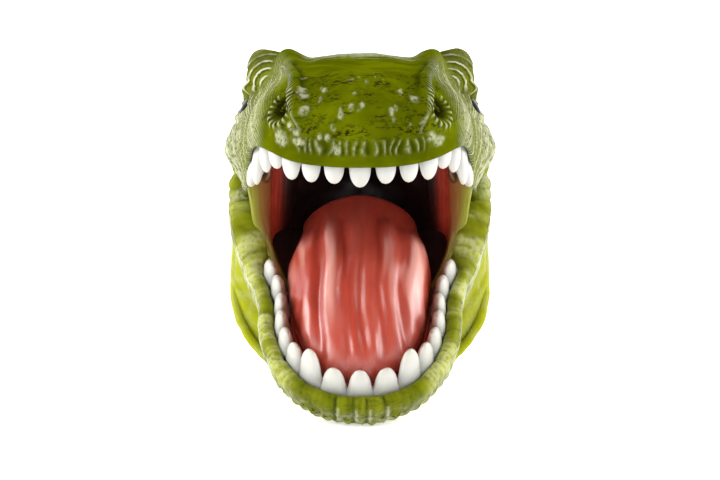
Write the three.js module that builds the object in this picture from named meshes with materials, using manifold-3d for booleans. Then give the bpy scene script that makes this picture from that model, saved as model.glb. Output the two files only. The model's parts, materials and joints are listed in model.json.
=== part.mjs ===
// A soft rubber dinosaur head that is worn on the hand: fingers lift the snout, the thumb drops the jaw.
// Millimetres, +Z up, snout towards -Y. The origin is the middle of the footprint, on the table.
// Each half of the mouth is drawn in its own frame, centred on the jaw hinge and level with its lip:
// a reach runs forward from the hinge (-Y), a height runs up from it (+Z).
import * as THREE from "three";
import { mergeVertices } from "three/addons/utils/BufferGeometryUtils.js";
import Module from "manifold-3d";

const wasm = await Module();
wasm.setup();

// Stance
const HINGE_HEIGHT = 85; // jaw hinge above the table
const HEAD_PITCH = 6; // degrees that the snout points up
const CHIN_GAP = 0.2; // chin above the table
const FIT = 0.4; // gap between pieces that lie against each other

// Upper lip, seen from above
const LIP_TIP = 110.5; // reach of the front of the lip
const LIP_SHOULDER = 50; // reach where the snout has its full width
const LIP_CORNER = 8; // reach of the mouth corner
const SNOUT_HALF_WIDTH = 42.5;
const LIP_CORNER_HALF_WIDTH = 46;
const CHEEK_FLARE = 7; // how far the cheeks stand out over the corners of the lip
const FLARE_SWEEP = 0.2; // share of the way up to the crown where they do so in full
const LIP_ROUNDNESS = 2.2; // superellipse power of the front of the lip
const LIP_WALL = 2.4; // thickness of the lip's edge

// Upper lip, seen from the side
const LIP_TIP_HEIGHT = 2.9;
const LIP_CORNER_HEIGHT = -2.5;
const LIP_ARCH = 12; // rise of the lip over the long teeth
const LIP_ARCH_REACH = 79;
const LIP_ARCH_SPREAD = 26;

// Skull
const SNOUT_HEIGHT = 39.5; // top of the snout above the hinge
const CROWN_HEIGHT = 50;
const NOSE_LENGTH = 30.5; // front of the lip back to where the snout's top line starts
const RIDGE_REAR = 2; // reach of the back of the skull
const SNOUT_ROUNDNESS = 2.8;
const CROWN_ROUNDNESS = 2.2;
const SKULL_WALL = 3;

// Raised and sunk places of the skull
const BROW_RISE = 11.5;
const BROW_SPREAD = 9.5;
const RIDGE_RISE = 4;
const RIDGE_SPREAD = 6;
const HORN_RISE = 2.5;
const HORN_SPREAD = 8;
const NOSTRIL_DEPTH = 1.8;
const NOSTRIL_SPREAD = 3.6;
const CHEEK_RISE = 2.2;
const CHEEK_SPREAD = 12;

// Lower jaw
const OVERBITE = 8; // front of the upper lip ahead of the lower one
const JAW_SHOULDER = 52; // reach where the jaw has its full width
const JAW_SIDE_TUCK = 3; // sides of the jaw inside those of the snout
const JAW_CORNER_TUCK = 3.2; // corners of the jaw inside the cheeks
const JAW_ROUNDNESS = 2.15;
const JAW_RIM_HEIGHT = -22.5; // outer edge of the lip along the tooth row
const JAW_CORNER_HEIGHT = -7.2;
const JAW_RAMP_REACH = 36; // reach where the rim starts to climb to the corner
const CHIN_LENGTH = 18.5; // front of the jaw back to where its keel starts
const CHIN_DEPTH = 15; // keel below the rim, in front
const KEEL_END = 30; // reach of the keel's rear end
const THROAT_DEPTH = 27.5; // keel below the rim, at its rear end
const JAW_SECTION_ROUNDNESS = 2.5;
const JAW_WALL = 2.8;
const ROLL_WIDTH = 6.4; // rolled lower lip
const ROLL_HEIGHT = 3.6;
const ROLL_FILL_LENGTH = 10; // the roll widens to the mouth floor over this length behind the teeth

// Teeth, from the middle of the row to its back
const UPPER_LENGTHS = [8, 7, 7.5, 8.8, 7.8, 10.5, 13, 10, 6.5];
const UPPER_WIDTHS = [7.6, 7.2, 7.2, 8.4, 8.4, 8.6, 8.8, 8.4, 7.6];
const LOWER_LENGTHS = [12.5, 12, 16.5, 11, 9.5, 9, 8.5, 9, 9];
const LOWER_WIDTHS = [9, 9.2, 9.6, 9.2, 9, 9, 9, 9, 8.6];
const UPPER_GAP = 1.5; // between neighbouring teeth
const LOWER_GAP = 0.5;
const UPPER_TOOTH_DEPTH = 5;
const LOWER_TOOTH_DEPTH = 5.2;
const TOOTH_ROOT = 3; // length hidden behind the lip
const UPPER_SPLAY = 4; // degrees that the tips lean out
const LOWER_SPLAY = 8;
const TOOTH_BEND = 0.12; // inward hook of the tip, per length
const TOOTH_ROOT_TAPER = 0.9;
const TOOTH_PROFILE = [[1, 0], [0.82, 0.45], [0.46, 0.8], [0, 1]]; // shares of half width and length

// Mouth linings
const LINER_WALL = 2;
const PALATE_RISE = 2; // edge of the palate above the lip
const PALATE_FRONT_HEIGHT = 14;
const PALATE_REAR_HEIGHT = 20;
const FLOOR_DROP = 1; // edge of the mouth floor below the rim
const FLOOR_SAG = 3; // middle of the floor below its edge
const LINER_ROUNDNESS = 2.3;
const PALATE_END = 4; // reach of the palate's rear edge on the middle line
const FLOOR_END = -3;
const POUCH_DEPTH = 17; // how far the throat lining reaches back
const POUCH_HALF = 0.5; // share of the linings' rear edges that it spans
const POUCH_LAP = 1.6; // how far it passes behind and below the floor's rear edge
const WEB_WALL = 1.8;
const WEB_UPPER_REACH = 15;
const WEB_LOWER_REACH = 30;
const WEB_SWEEP = [0.04, 0.5]; // from the edges of the linings in towards the throat
const WEB_FLANGE = 0.3; // share of its length that turns out to the lip
const WEB_DIP = 3; // hollow of the web's free edge

// Tongue
const TONGUE_TIP_GAP = 2; // tip to the back of the front teeth
const TONGUE_SIDE_GAP = 1;
const TONGUE_SHOULDER = 42; // reach of its widest place
const TONGUE_ROOT = 1; // reach of its rear end
const TONGUE_ROOT_HALF_WIDTH = 12;
const TONGUE_TIP_LENGTH = 26; // tip back to where its middle line starts
const TONGUE_TIP_RISE = 12;
const TONGUE_BODY_RISE = 18;
const TONGUE_ROUNDNESS = 2.2;

// Neck sleeve
const CUFF_REACH = 62; // hinge back to the open rim
const CUFF_HALF_WIDTH = 50;
const CUFF_TOP = 3; // top of the rim above the hinge
const CUFF_MIDDLE = -38; // height of the rim's widest place
const NECK_WALL = 3.2;
const NECK_ROUNDNESS = 3.4;
const THROAT_GAP = 5; // jaw's rear edge back to the lower front edge of the neck
const NECK_FRONT_TURN = 9; // how quickly that edge turns back below the mouth corner
const NECK_FLARE_TURN = 4; // how quickly it widens to the cheeks' width there
const NECK_SWEEP = 60; // how long the skull's direction carries on into the nape
const CUFF_SWEEP = 34;
const SOLE_CUT = 1.5; // depth of the flat that the neck rests on
const LOBE_RISE = 3; // swell of the neck below the jaw
const LOBE_HEIGHT = -56;
const LOBE_SPREAD = 22;
const PINCH = 3.5; // waist of the neck behind the mouth corner
const PINCH_HEIGHT = -22;
const PINCH_SPREAD = 16;
const CORNER_GAP = 2.6; // room beside the mouth corner for the head to nod
const NAPE_WIDTH = 14; // soft fold across the nape
const FOLD_WALL = 2.4;

// Eyes
const EYE_RADIUS = 5.6;
const EYE_BULGE = 3;
const EYE_SINK = 1.4; // seat of the eye under the skin
const EYE_SHANK = 5;
const EYE_PROFILE = [[1, 0], [0.82, 0.55], [0.45, 0.9], [0, 1]]; // shares of the radius and of the bulge
const SOCKET_DEPTH = 1.6;
const SOCKET_SPREAD = 7;

// Places on the skull as shares of the lip line and of the way up to the crown
const BROW_PLACE = [0.935, 0.57];
const HORN_PLACE = [0.8, 0.7];
const NOSTRIL_PLACE = [0.3, 0.31];
const RIDGE_PLACE = [0.345, 0.54]; // where the nasal ridge bends back from the nostril
const CHEEK_PLACE = [0.95, 0.18];
const EYE_PLACE = [0.915, 0.39];

// Stretches that the soft sheets cover, as shares of the seams they hang between
const NAPE_TURNS = [0.06, 0.94];
const THROAT_TURNS = [0.12, 0.88];
const POUCH_SPAN = [-0.47, 0.47];
const POUCH_DROP = [0.015, 1];
const WEB_DROP = [0.14, 0.89];

// Fineness of the facets
const NOSE_SHARE = 0.62; // share of an outline's steps that round the nose
const SKULL_STEPS = [26, 13];
const JAW_STEPS = [17, 8];
const LINER_STEPS = [14, 5];
const TONGUE_STEPS = [12, 6];
const NECK_STEPS = [64, 16];
const FOLD_STEPS = [40, 5];
const POUCH_STEPS = [16, 6];
const WEB_STEPS = [6, 6];
const ROLL_STEPS = 4;
const TOOTH_SIDES = 8;
const EYE_SIDES = 14;
const SLOPE_STEP = 1e-3; // shares apart that a slope is measured over
const WELD = 1e-3; // corners closer than this are one
const JAW_SEARCH = 40; // halvings that find the jaw's pitch
const JAW_STEEPEST = 60; // degrees

const radians = THREE.MathUtils.degToRad;
const lerp = THREE.MathUtils.lerp;
const HALF_TURN = Math.PI;

function smooth(share) {
  return THREE.MathUtils.smoothstep(share, 0, 1);
}

function steps(count, from, to) {
  return Array.from({ length: count + 1 }, (_, i) => lerp(from, to, i / count));
}

// A quarter of a superellipse: sweep 0 lies on the first axis, sweep 1 on the second.
function superellipse(sweep, power) {
  const angle = (sweep * HALF_TURN) / 2;
  const first = sweep === 1 ? 0 : Math.cos(angle);
  const second = Math.sin(angle);
  const scale = (first ** power + second ** power) ** (-1 / power);
  return [first * scale, second * scale];
}

// Half of a mouth outline, from the middle of the nose to the corner: a round nose, then flaring sides.
class Outline extends THREE.Curve {
  constructor(shape) {
    super();
    this.shape = shape;
  }

  getPoint(t, target = new THREE.Vector3()) {
    const { tip, shoulder, corner, noseHalf, cornerHalf, roundness, height } = this.shape;
    let reach;
    let half;
    if (t < NOSE_SHARE) {
      const [along, across] = superellipse(t / NOSE_SHARE, roundness);
      reach = lerp(shoulder, tip, along);
      half = noseHalf * across;
    } else {
      const share = (t - NOSE_SHARE) / (1 - NOSE_SHARE);
      reach = lerp(shoulder, corner, share);
      half = lerp(noseHalf, cornerHalf, smooth(share));
    }
    return target.set(half, -reach, height(reach));
  }

  // The same place on either side: t below zero is the left half.
  at(t) {
    const point = this.getPoint(Math.abs(t));
    point.x *= Math.sign(t);
    return point;
  }

  // The share of the outline at a reach behind the shoulder.
  shareAt(reach) {
    const { shoulder, corner } = this.shape;
    return NOSE_SHARE + ((1 - NOSE_SHARE) * (shoulder - reach)) / (shoulder - corner);
  }
}

// An outline moved towards the inside of the mouth, by a depth or a function of the share, and up or down.
class InsetOutline extends Outline {
  constructor(outline, depth, lift = 0) {
    super(outline.shape);
    this.outline = outline;
    this.depthAt = typeof depth === "function" ? depth : () => depth;
    this.lift = lift;
  }

  getPoint(t, target = new THREE.Vector3()) {
    const ahead = this.outline.at(Math.min(t + SLOPE_STEP, 1));
    const behind = this.outline.at(t - SLOPE_STEP);
    const along = ahead.sub(behind).setZ(0).normalize();
    const depth = this.depthAt(t);
    this.outline.getPoint(t, target);
    target.x = Math.max(target.x - depth * along.y, 0);
    target.y += depth * along.x;
    target.z += this.lift;
    return target;
  }
}

// A vault over an outline, up (or down) to a ridge on the middle plane; it may flare out over the outline.
function vault(outline, ridge, roundness, flare = () => 0) {
  return (t, sweep) => {
    const edge = outline.at(t);
    const top = ridge(Math.abs(t));
    const [out, up] = superellipse(sweep, roundness(Math.abs(t)));
    const half = edge.x + Math.sign(t) * flare(Math.abs(t), sweep);
    return new THREE.Vector3(half * out, lerp(top.y, edge.y, out), lerp(edge.z, top.z, up));
  };
}

// Unit normal of a surface of two shares; it stays on the middle plane where the two halves meet.
function surfaceNormal(surface, a, b, [low, high] = [-1, 1]) {
  const across = surface(Math.min(a + SLOPE_STEP, high), b).sub(surface(Math.max(a - SLOPE_STEP, low), b));
  const along = surface(a, Math.min(b + SLOPE_STEP, 1)).sub(surface(a, Math.max(b - SLOPE_STEP, 0)));
  const normal = across.cross(along);
  if (a === 0 || b === 1) {
    normal.x = 0;
  }
  return normal.normalize();
}

function bump(distance, spread) {
  return Math.exp(-((distance / spread) ** 2));
}

// Joins loose triangles into one closed body with its faces pointing out.
function closedBody(corners) {
  const loose = new THREE.BufferGeometry();
  const numbers = corners.flatMap((p) => p.toArray());
  loose.setAttribute("position", new THREE.Float32BufferAttribute(numbers, 3));
  const body = mergeVertices(loose, WELD);
  const place = body.getAttribute("position");
  const index = body.getIndex().array;
  const kept = [];
  let volume = 0;
  for (let i = 0; i < index.length; i += 3) {
    const [a, b, c] = [index[i], index[i + 1], index[i + 2]];
    if (a === b || b === c || c === a) {
      continue;
    }
    const [p, q, r] = [a, b, c].map((k) => new THREE.Vector3().fromBufferAttribute(place, k));
    volume += p.dot(q.cross(r));
    kept.push(a, b, c);
  }
  body.setIndex(volume < 0 ? kept.reverse() : kept);
  return body;
}

// A wall between an outer and an inner surface, each a function of (column, row).
// wrap joins the last column to the first; fold leaves the last row open, because its halves meet there;
// roll rounds the first row's edge over by a height.
function wall(outer, inner, columns, rows, { wrap = false, fold = false, roll = 0 } = {}) {
  const corners = [];
  const quad = (a, b, c, d) => corners.push(a, b, c, a, c, d);
  const out = columns.map((a) => rows.map((b) => outer(a, b)));
  const back = columns.map((a) => rows.map((b) => inner(a, b)));
  if (wrap) {
    out.push(out[0]);
    back.push(back[0]);
  }
  const last = out.length - 1;
  const end = rows.length - 1;
  const rollSteps = roll === 0 ? 1 : ROLL_STEPS;
  const edge = out.map((column, i) =>
    steps(rollSteps, 0, 1).map((share) => {
      const turn = share * HALF_TURN;
      const point = column[0].clone().lerp(back[i][0], (1 - Math.cos(turn)) / 2);
      return point.setZ(point.z + roll * Math.sin(turn));
    }),
  );
  for (let i = 0; i < last; i += 1) {
    for (let j = 0; j < end; j += 1) {
      quad(out[i][j], out[i + 1][j], out[i + 1][j + 1], out[i][j + 1]);
      quad(back[i][j], back[i][j + 1], back[i + 1][j + 1], back[i + 1][j]);
    }
    for (let k = 0; k < rollSteps; k += 1) {
      quad(edge[i + 1][k], edge[i][k], edge[i][k + 1], edge[i + 1][k + 1]);
    }
    if (!fold) {
      quad(out[i][end], out[i + 1][end], back[i + 1][end], back[i][end]);
    }
  }
  if (!wrap) {
    for (let j = 0; j < end; j += 1) {
      quad(out[0][j], out[0][j + 1], back[0][j + 1], back[0][j]);
      quad(out[last][j + 1], out[last][j], back[last][j], back[last][j + 1]);
    }
    for (let k = 1; k < rollSteps; k += 1) {
      corners.push(edge[0][0], edge[0][k + 1], edge[0][k]);
      corners.push(edge[last][0], edge[last][k], edge[last][k + 1]);
    }
  }
  return closedBody(corners);
}

// A sheet whose thickness grows along a surface's normal, or against it where it is negative.
function sheet(surface, thickness, columns, rows, range) {
  const behind = (a, b) => surface(a, b).addScaledVector(surfaceNormal(surface, a, b, range), thickness);
  return wall(surface, behind, columns, rows);
}

function toSolid(geometry) {
  const bare = geometry.clone();
  bare.deleteAttribute("normal");
  bare.deleteAttribute("uv");
  const merged = mergeVertices(bare, WELD);
  const vertProperties = new Float32Array(merged.getAttribute("position").array);
  const triVerts = new Uint32Array(merged.getIndex().array);
  return new wasm.Manifold(new wasm.Mesh({ numProp: 3, vertProperties, triVerts }));
}

function fromSolid(solid) {
  const { vertProperties, triVerts } = solid.getMesh();
  const geometry = new THREE.BufferGeometry();
  geometry.setAttribute("position", new THREE.Float32BufferAttribute(vertProperties, 3));
  geometry.setIndex(Array.from(triVerts));
  return geometry;
}

function turnedProfile(points, sides) {
  const profile = points.map(([radius, height]) => new THREE.Vector2(radius, height));
  const geometry = new THREE.LatheGeometry(profile, sides);
  geometry.deleteAttribute("normal");
  geometry.deleteAttribute("uv");
  return mergeVertices(geometry, WELD);
}

// Upper half: the lip, the skull over it and the palate inside it
const lip = new Outline({
  tip: LIP_TIP,
  shoulder: LIP_SHOULDER,
  corner: LIP_CORNER,
  noseHalf: SNOUT_HALF_WIDTH,
  cornerHalf: LIP_CORNER_HALF_WIDTH,
  roundness: LIP_ROUNDNESS,
  height: (reach) => {
    const line = lerp(LIP_CORNER_HEIGHT, LIP_TIP_HEIGHT, (reach - LIP_CORNER) / (LIP_TIP - LIP_CORNER));
    return line + LIP_ARCH * bump(reach - LIP_ARCH_REACH, LIP_ARCH_SPREAD);
  },
});

// How far back along the lip a place lies: 0 at the nose, 1 at the corner.
function lipDepth(t) {
  return (LIP_TIP + lip.getPoint(t).y) / (LIP_TIP - LIP_CORNER);
}

function skullRidge(lowering) {
  return (t) => {
    const depth = lipDepth(t);
    const height = lerp(SNOUT_HEIGHT, CROWN_HEIGHT, smooth(depth));
    return new THREE.Vector3(0, -lerp(LIP_TIP - NOSE_LENGTH, RIDGE_REAR, depth), height - lowering);
  };
}

function skullRoundness(t) {
  return lerp(SNOUT_ROUNDNESS, CROWN_ROUNDNESS, lipDepth(t));
}

function cheekFlare(t, sweep) {
  const side = (t - NOSE_SHARE) / (1 - NOSE_SHARE);
  return CHEEK_FLARE * smooth(side) * smooth(sweep / FLARE_SWEEP);
}

const skullBase = vault(lip, skullRidge(0), skullRoundness, cheekFlare);
const lipInside = new InsetOutline(lip, LIP_WALL);
const skullInside = vault(lipInside, skullRidge(SKULL_WALL), skullRoundness, cheekFlare);
const browPlace = skullBase(...BROW_PLACE);
const hornPlace = skullBase(...HORN_PLACE);
const nostrilPlace = skullBase(...NOSTRIL_PLACE);
const cheekPlace = skullBase(...CHEEK_PLACE);
const eyePlace = skullBase(...EYE_PLACE);
const ridgePlace = skullBase(...RIDGE_PLACE);
const nasalRidge = [new THREE.Line3(nostrilPlace, ridgePlace), new THREE.Line3(ridgePlace, hornPlace)];

function skullRelief(point) {
  const right = point.clone().setX(Math.abs(point.x));
  const onRidge = nasalRidge.map((line) => line.closestPointToPoint(right, true, new THREE.Vector3()));
  const offRidge = Math.min(...onRidge.map((place) => place.distanceTo(right)));
  const brow = BROW_RISE * bump(right.distanceTo(browPlace), BROW_SPREAD);
  const ridge = RIDGE_RISE * bump(offRidge, RIDGE_SPREAD);
  const horn = HORN_RISE * bump(right.distanceTo(hornPlace), HORN_SPREAD);
  const cheek = CHEEK_RISE * bump(right.distanceTo(cheekPlace), CHEEK_SPREAD);
  const nostril = (RIDGE_RISE + NOSTRIL_DEPTH) * bump(right.distanceTo(nostrilPlace), NOSTRIL_SPREAD);
  const socket = SOCKET_DEPTH * bump(right.distanceTo(eyePlace), SOCKET_SPREAD);
  return brow + ridge + horn + cheek - nostril - socket;
}

function skullOutside(t, sweep) {
  const point = skullBase(t, sweep);
  return point.addScaledVector(surfaceNormal(skullBase, t, sweep), skullRelief(point));
}

const UPPER_ROW_INSET = LIP_WALL + FIT + UPPER_TOOTH_DEPTH / 2;
const PALATE_INSET = UPPER_ROW_INSET + UPPER_TOOTH_DEPTH / 2 + FIT;
const linerRoundness = () => LINER_ROUNDNESS;
const upperRow = new InsetOutline(lip, UPPER_ROW_INSET);
const palateEdge = new InsetOutline(lip, PALATE_INSET, PALATE_RISE);

function palateRidge(raise) {
  return (t) => {
    const depth = lipDepth(t);
    const height = lerp(PALATE_FRONT_HEIGHT, PALATE_REAR_HEIGHT, depth);
    return new THREE.Vector3(0, -lerp(LIP_TIP - NOSE_LENGTH, PALATE_END, depth), height + raise);
  };
}

const palateLip = new InsetOutline(lip, PALATE_INSET + LINER_WALL, PALATE_RISE);
const palateUnder = vault(palateLip, palateRidge(0), linerRoundness);
const palateOver = vault(palateEdge, palateRidge(LINER_WALL), linerRoundness);

// Lower half: the rolled lip, the jaw under it and the mouth floor inside it
const JAW_TIP = LIP_TIP - OVERBITE;
const JAW_CORNER = LIP_CORNER;
const JAW_HALF_WIDTH = SNOUT_HALF_WIDTH - JAW_SIDE_TUCK;
const JAW_CORNER_HALF_WIDTH = LIP_CORNER_HALF_WIDTH + CHEEK_FLARE - JAW_CORNER_TUCK;
const jawRim = new Outline({
  tip: JAW_TIP,
  shoulder: JAW_SHOULDER,
  corner: JAW_CORNER,
  noseHalf: JAW_HALF_WIDTH,
  cornerHalf: JAW_CORNER_HALF_WIDTH,
  roundness: JAW_ROUNDNESS,
  height: (reach) => {
    const climb = smooth((JAW_RAMP_REACH - reach) / (JAW_RAMP_REACH - JAW_CORNER));
    return lerp(JAW_RIM_HEIGHT, JAW_CORNER_HEIGHT, climb);
  },
});

function jawDepth(t) {
  return (JAW_TIP + jawRim.getPoint(t).y) / (JAW_TIP - JAW_CORNER);
}

function keel(raise) {
  return (t) => {
    const depth = jawDepth(t);
    const height = JAW_RIM_HEIGHT - lerp(CHIN_DEPTH, THROAT_DEPTH, smooth(depth));
    return new THREE.Vector3(0, -lerp(JAW_TIP - CHIN_LENGTH, KEEL_END, depth), height + raise);
  };
}

const LOWER_ROW_INSET = ROLL_WIDTH + FIT + LOWER_TOOTH_DEPTH / 2;
const FLOOR_INSET = LOWER_ROW_INSET + LOWER_TOOTH_DEPTH / 2 + FIT;
const lowerRow = new InsetOutline(jawRim, LOWER_ROW_INSET);

// How far along its row a tooth stands: half of the middle tooth, then the teeth and gaps between.
function toothDistance(widths, gap, number) {
  const before = widths.slice(0, number).reduce((sum, width) => sum + width + gap, 0);
  return before + (widths[number] - widths[0]) / 2;
}

// The share of a row at a distance along it.
function rowShare(row, distance) {
  return row.getUtoTmapping(0, Math.min(distance, row.getLength()));
}

const lastLower = LOWER_WIDTHS.length - 1;
const lowerRowLength = toothDistance(LOWER_WIDTHS, LOWER_GAP, lastLower) + LOWER_WIDTHS[lastLower] / 2 + FIT;
const lowerRowEnd = -lowerRow.getPoint(rowShare(lowerRow, lowerRowLength)).y;

function rollInset(t) {
  const behindTeeth = (lowerRowEnd + jawRim.getPoint(t).y) / ROLL_FILL_LENGTH;
  return lerp(ROLL_WIDTH, FLOOR_INSET - FIT, smooth(behindTeeth));
}

const jawRoundness = () => JAW_SECTION_ROUNDNESS;
const jawOutside = vault(jawRim, keel(0), jawRoundness);
const jawInside = vault(new InsetOutline(jawRim, rollInset), keel(JAW_WALL), jawRoundness);
const floorEdge = new InsetOutline(jawRim, FLOOR_INSET, -FLOOR_DROP);
const FLOOR_HEIGHT = JAW_RIM_HEIGHT - FLOOR_DROP - FLOOR_SAG;

function floorMiddle(lowering) {
  return (t) => {
    const reach = lerp(JAW_TIP - CHIN_LENGTH, FLOOR_END, jawDepth(t));
    return new THREE.Vector3(0, -reach, FLOOR_HEIGHT - lowering);
  };
}

const floorLip = new InsetOutline(jawRim, FLOOR_INSET + LINER_WALL, -FLOOR_DROP);
const floorTop = vault(floorLip, floorMiddle(0), linerRoundness);
const floorUnder = vault(floorEdge, floorMiddle(LINER_WALL), linerRoundness);

// The jaw drops until the chin lies on the table.
function chinPitch() {
  const [around, down] = JAW_STEPS;
  const points = steps(around, 0, 1).flatMap((t) => steps(down, 0, 1).map((sweep) => jawOutside(t, sweep)));
  const lowest = (pitch) =>
    Math.min(...points.map((p) => p.y * Math.sin(pitch) + p.z * Math.cos(pitch)));
  let [level, steep] = [0, radians(JAW_STEEPEST)];
  for (let i = 0; i < JAW_SEARCH; i += 1) {
    const middle = (level + steep) / 2;
    if (lowest(middle) > CHIN_GAP - HINGE_HEIGHT) {
      level = middle;
    } else {
      steep = middle;
    }
  }
  return level;
}

const headPitch = -radians(HEAD_PITCH);
const jawPitch = chinPitch();
const X_AXIS = new THREE.Vector3(1, 0, 0);

function fromHead(point) {
  return point.applyAxisAngle(X_AXIS, headPitch);
}

function fromJaw(point) {
  return point.applyAxisAngle(X_AXIS, jawPitch);
}

// The neck's lower front edge stands clear of the jaw at its widest gape.
const jawRear = steps(JAW_STEPS[1], 0, 1).map((sweep) => fromJaw(jawOutside(1, sweep)).y);
const neckFront = Math.max(...jawRear) + THROAT_GAP;

// Neck: rings that run from the back of the skull, and round under the jaw, to the open cuff.
// A ring's turn goes from the right corner over the top (0 to 1) and back under the throat (1 to 2).
function ringPlace(turn) {
  const over = turn <= 1;
  const half = over ? turn : turn - 1;
  const sweep = half <= 0.5 ? half * 2 : 2 - half * 2;
  const right = over === half <= 0.5 ? 1 : -1;
  return { over, sweep, right };
}

function ringFront(turn) {
  const { over, sweep, right } = ringPlace(turn);
  if (over) {
    return fromHead(skullOutside(right, sweep));
  }
  const corner = fromHead(lip.at(right));
  const [out, down] = superellipse(sweep, NECK_ROUNDNESS);
  const y = lerp(corner.y, neckFront, smooth(down * NECK_FRONT_TURN));
  const half = corner.x + right * CHEEK_FLARE * smooth(down * NECK_FLARE_TURN);
  return new THREE.Vector3(half * out, y, lerp(corner.z, -HINGE_HEIGHT - SOLE_CUT, down));
}

function ringCuff(turn) {
  const { over, sweep, right } = ringPlace(turn);
  const [out, away] = superellipse(sweep, NECK_ROUNDNESS);
  const height = lerp(CUFF_MIDDLE, over ? CUFF_TOP : -HINGE_HEIGHT - SOLE_CUT, away);
  return new THREE.Vector3(right * CUFF_HALF_WIDTH * out, CUFF_REACH, height);
}

function neckOutside(turn, along) {
  const front = ringFront(turn);
  const cuff = ringCuff(turn);
  const [a, b] = [along, 1 - along];
  const point = front.multiplyScalar(b * b * (1 + 2 * a)).addScaledVector(cuff, a * a * (1 + 2 * b));
  point.y += NECK_SWEEP * a * b * b - CUFF_SWEEP * a * a * b;
  const lobe = LOBE_RISE * bump(point.z - LOBE_HEIGHT, LOBE_SPREAD);
  const waist = PINCH * bump(point.z - PINCH_HEIGHT, PINCH_SPREAD);
  const sideways = smooth(Math.abs(point.x) / CUFF_HALF_WIDTH) * Math.sign(point.x);
  point.x += (lobe - waist) * (1 - a * a) * sideways;
  point.z = Math.max(point.z, -HINGE_HEIGHT);
  return point;
}

function neckInside(turn, along) {
  const point = neckOutside(turn, along);
  const middle = new THREE.Vector3(0, point.y, CUFF_MIDDLE);
  return point.sub(middle).setLength(point.length() - NECK_WALL).add(middle);
}

// Where the stiff sleeve starts: close behind the mouth corner, further back over the nape.
function sleeveStart(turn) {
  const { over, sweep } = ringPlace(turn);
  return (CORNER_GAP + (over ? NAPE_WIDTH * Math.sin((sweep * HALF_TURN) / 2) : 0)) / NECK_SWEEP;
}

const FIT_SHARE = FIT / NECK_SWEEP;

function napeSurface(turn, across) {
  return neckOutside(turn, lerp(FIT_SHARE, sleeveStart(turn) - FIT_SHARE, across));
}

// Soft skin under the jaw, from the jaw's rear edge to the sleeve
function throatSurface(share, across) {
  const turn = 1 + share;
  const { sweep, right } = ringPlace(turn);
  const front = fromJaw(jawOutside(right, sweep));
  const rear = neckOutside(turn, sleeveStart(turn));
  rear.y -= FOLD_WALL + FIT * 2;
  rear.z = Math.max(rear.z, FIT - HINGE_HEIGHT);
  return front.lerp(rear, lerp(FIT / front.distanceTo(rear), 1, across));
}

// Lining at the back of the mouth, from the palate's rear edge round to the floor's
function pouchSurface(share, down) {
  const side = Math.sign(share) || 1;
  const sweep = 1 - Math.abs(share);
  const upper = fromHead(palateUnder(side, sweep));
  const lower = fromJaw(floorTop(side, sweep));
  lower.y += POUCH_LAP;
  lower.z -= POUCH_LAP;
  const middle = upper.clone().lerp(lower, 0.5);
  middle.y += POUCH_DEPTH * 2 * (1 - (share / POUCH_HALF) ** 2) + FIT;
  return new THREE.QuadraticBezierCurve3(upper, middle, lower).getPoint(down);
}

// Web of the cheek: the side wall of the mouth, from the lips' corner in to the throat lining
function webSurface(side) {
  const upperShare = lip.shareAt(WEB_UPPER_REACH);
  const lowerShare = jawRim.shareAt(WEB_LOWER_REACH);
  const atLip = fromHead(new InsetOutline(lip, LIP_WALL + FIT).at(side * upperShare));
  return (back, down) => {
    const sweep = lerp(...WEB_SWEEP, back);
    const upper = fromHead(palateUnder(side * lerp(upperShare, 1, back), sweep));
    const lower = fromJaw(floorTop(side * lerp(lowerShare, 1, back), sweep));
    const point = upper.lerp(atLip, 1 - smooth(back / WEB_FLANGE)).lerp(lower, down);
    point.y += WEB_DIP * Math.sin(HALF_TURN * down) * (1 - back);
    return point;
  };
}

// Tongue: a rounded tongue that lies on the mouth floor
const TONGUE_BASE = JAW_RIM_HEIGHT - FLOOR_DROP + FIT;
const TONGUE_TIP = JAW_TIP - FLOOR_INSET - TONGUE_TIP_GAP;
const TONGUE_HALF_WIDTH = JAW_HALF_WIDTH - FLOOR_INSET - TONGUE_SIDE_GAP;
const tongueOutline = new Outline({
  tip: TONGUE_TIP,
  shoulder: TONGUE_SHOULDER,
  corner: TONGUE_ROOT,
  noseHalf: TONGUE_HALF_WIDTH,
  cornerHalf: TONGUE_ROOT_HALF_WIDTH,
  roundness: TONGUE_ROUNDNESS,
  height: () => TONGUE_BASE,
});

function tongueRidge(t) {
  const reach = -tongueOutline.getPoint(t).y;
  const depth = (TONGUE_TIP - reach) / (TONGUE_TIP - TONGUE_ROOT);
  const rise = lerp(TONGUE_TIP_RISE, TONGUE_BODY_RISE, smooth(Math.min(depth * 2, 1)));
  return new THREE.Vector3(0, -lerp(TONGUE_TIP - TONGUE_TIP_LENGTH, TONGUE_ROOT, depth), TONGUE_BASE + rise);
}

const tongueTop = vault(tongueOutline, tongueRidge, () => TONGUE_ROUNDNESS);

function tongueBottom(t, sweep) {
  return tongueTop(t, sweep).setZ(TONGUE_BASE - FIT / 2);
}

function toothGeometry(width, depth, length) {
  const root = [[0, -TOOTH_ROOT], [TOOTH_ROOT_TAPER, -TOOTH_ROOT]];
  const crown = TOOTH_PROFILE.map(([radius, height]) => [radius, height * length]);
  const geometry = turnedProfile([...root, ...crown], TOOTH_SIDES).scale(width / 2, 1, depth / 2);
  const place = geometry.getAttribute("position");
  for (let i = 0; i < place.count; i += 1) {
    const share = Math.max(place.getY(i), 0) / length;
    place.setZ(i, place.getZ(i) - TOOTH_BEND * length * share * share);
  }
  return geometry;
}

const IVORY = { color: 0xf1efe6, roughness: 0.38 };
const GREEN = { color: 0x77860f, roughness: 0.5 };
const PALE_GREEN = { color: 0x9aa63a, roughness: 0.55 };
const MOUTH_RED = { color: 0x6d2219, roughness: 0.5 };
const TONGUE_RED = { color: 0xb04a36, roughness: 0.35 };
const EYE_BLACK = { color: 0x0b0b0a, roughness: 0.12 };

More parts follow.
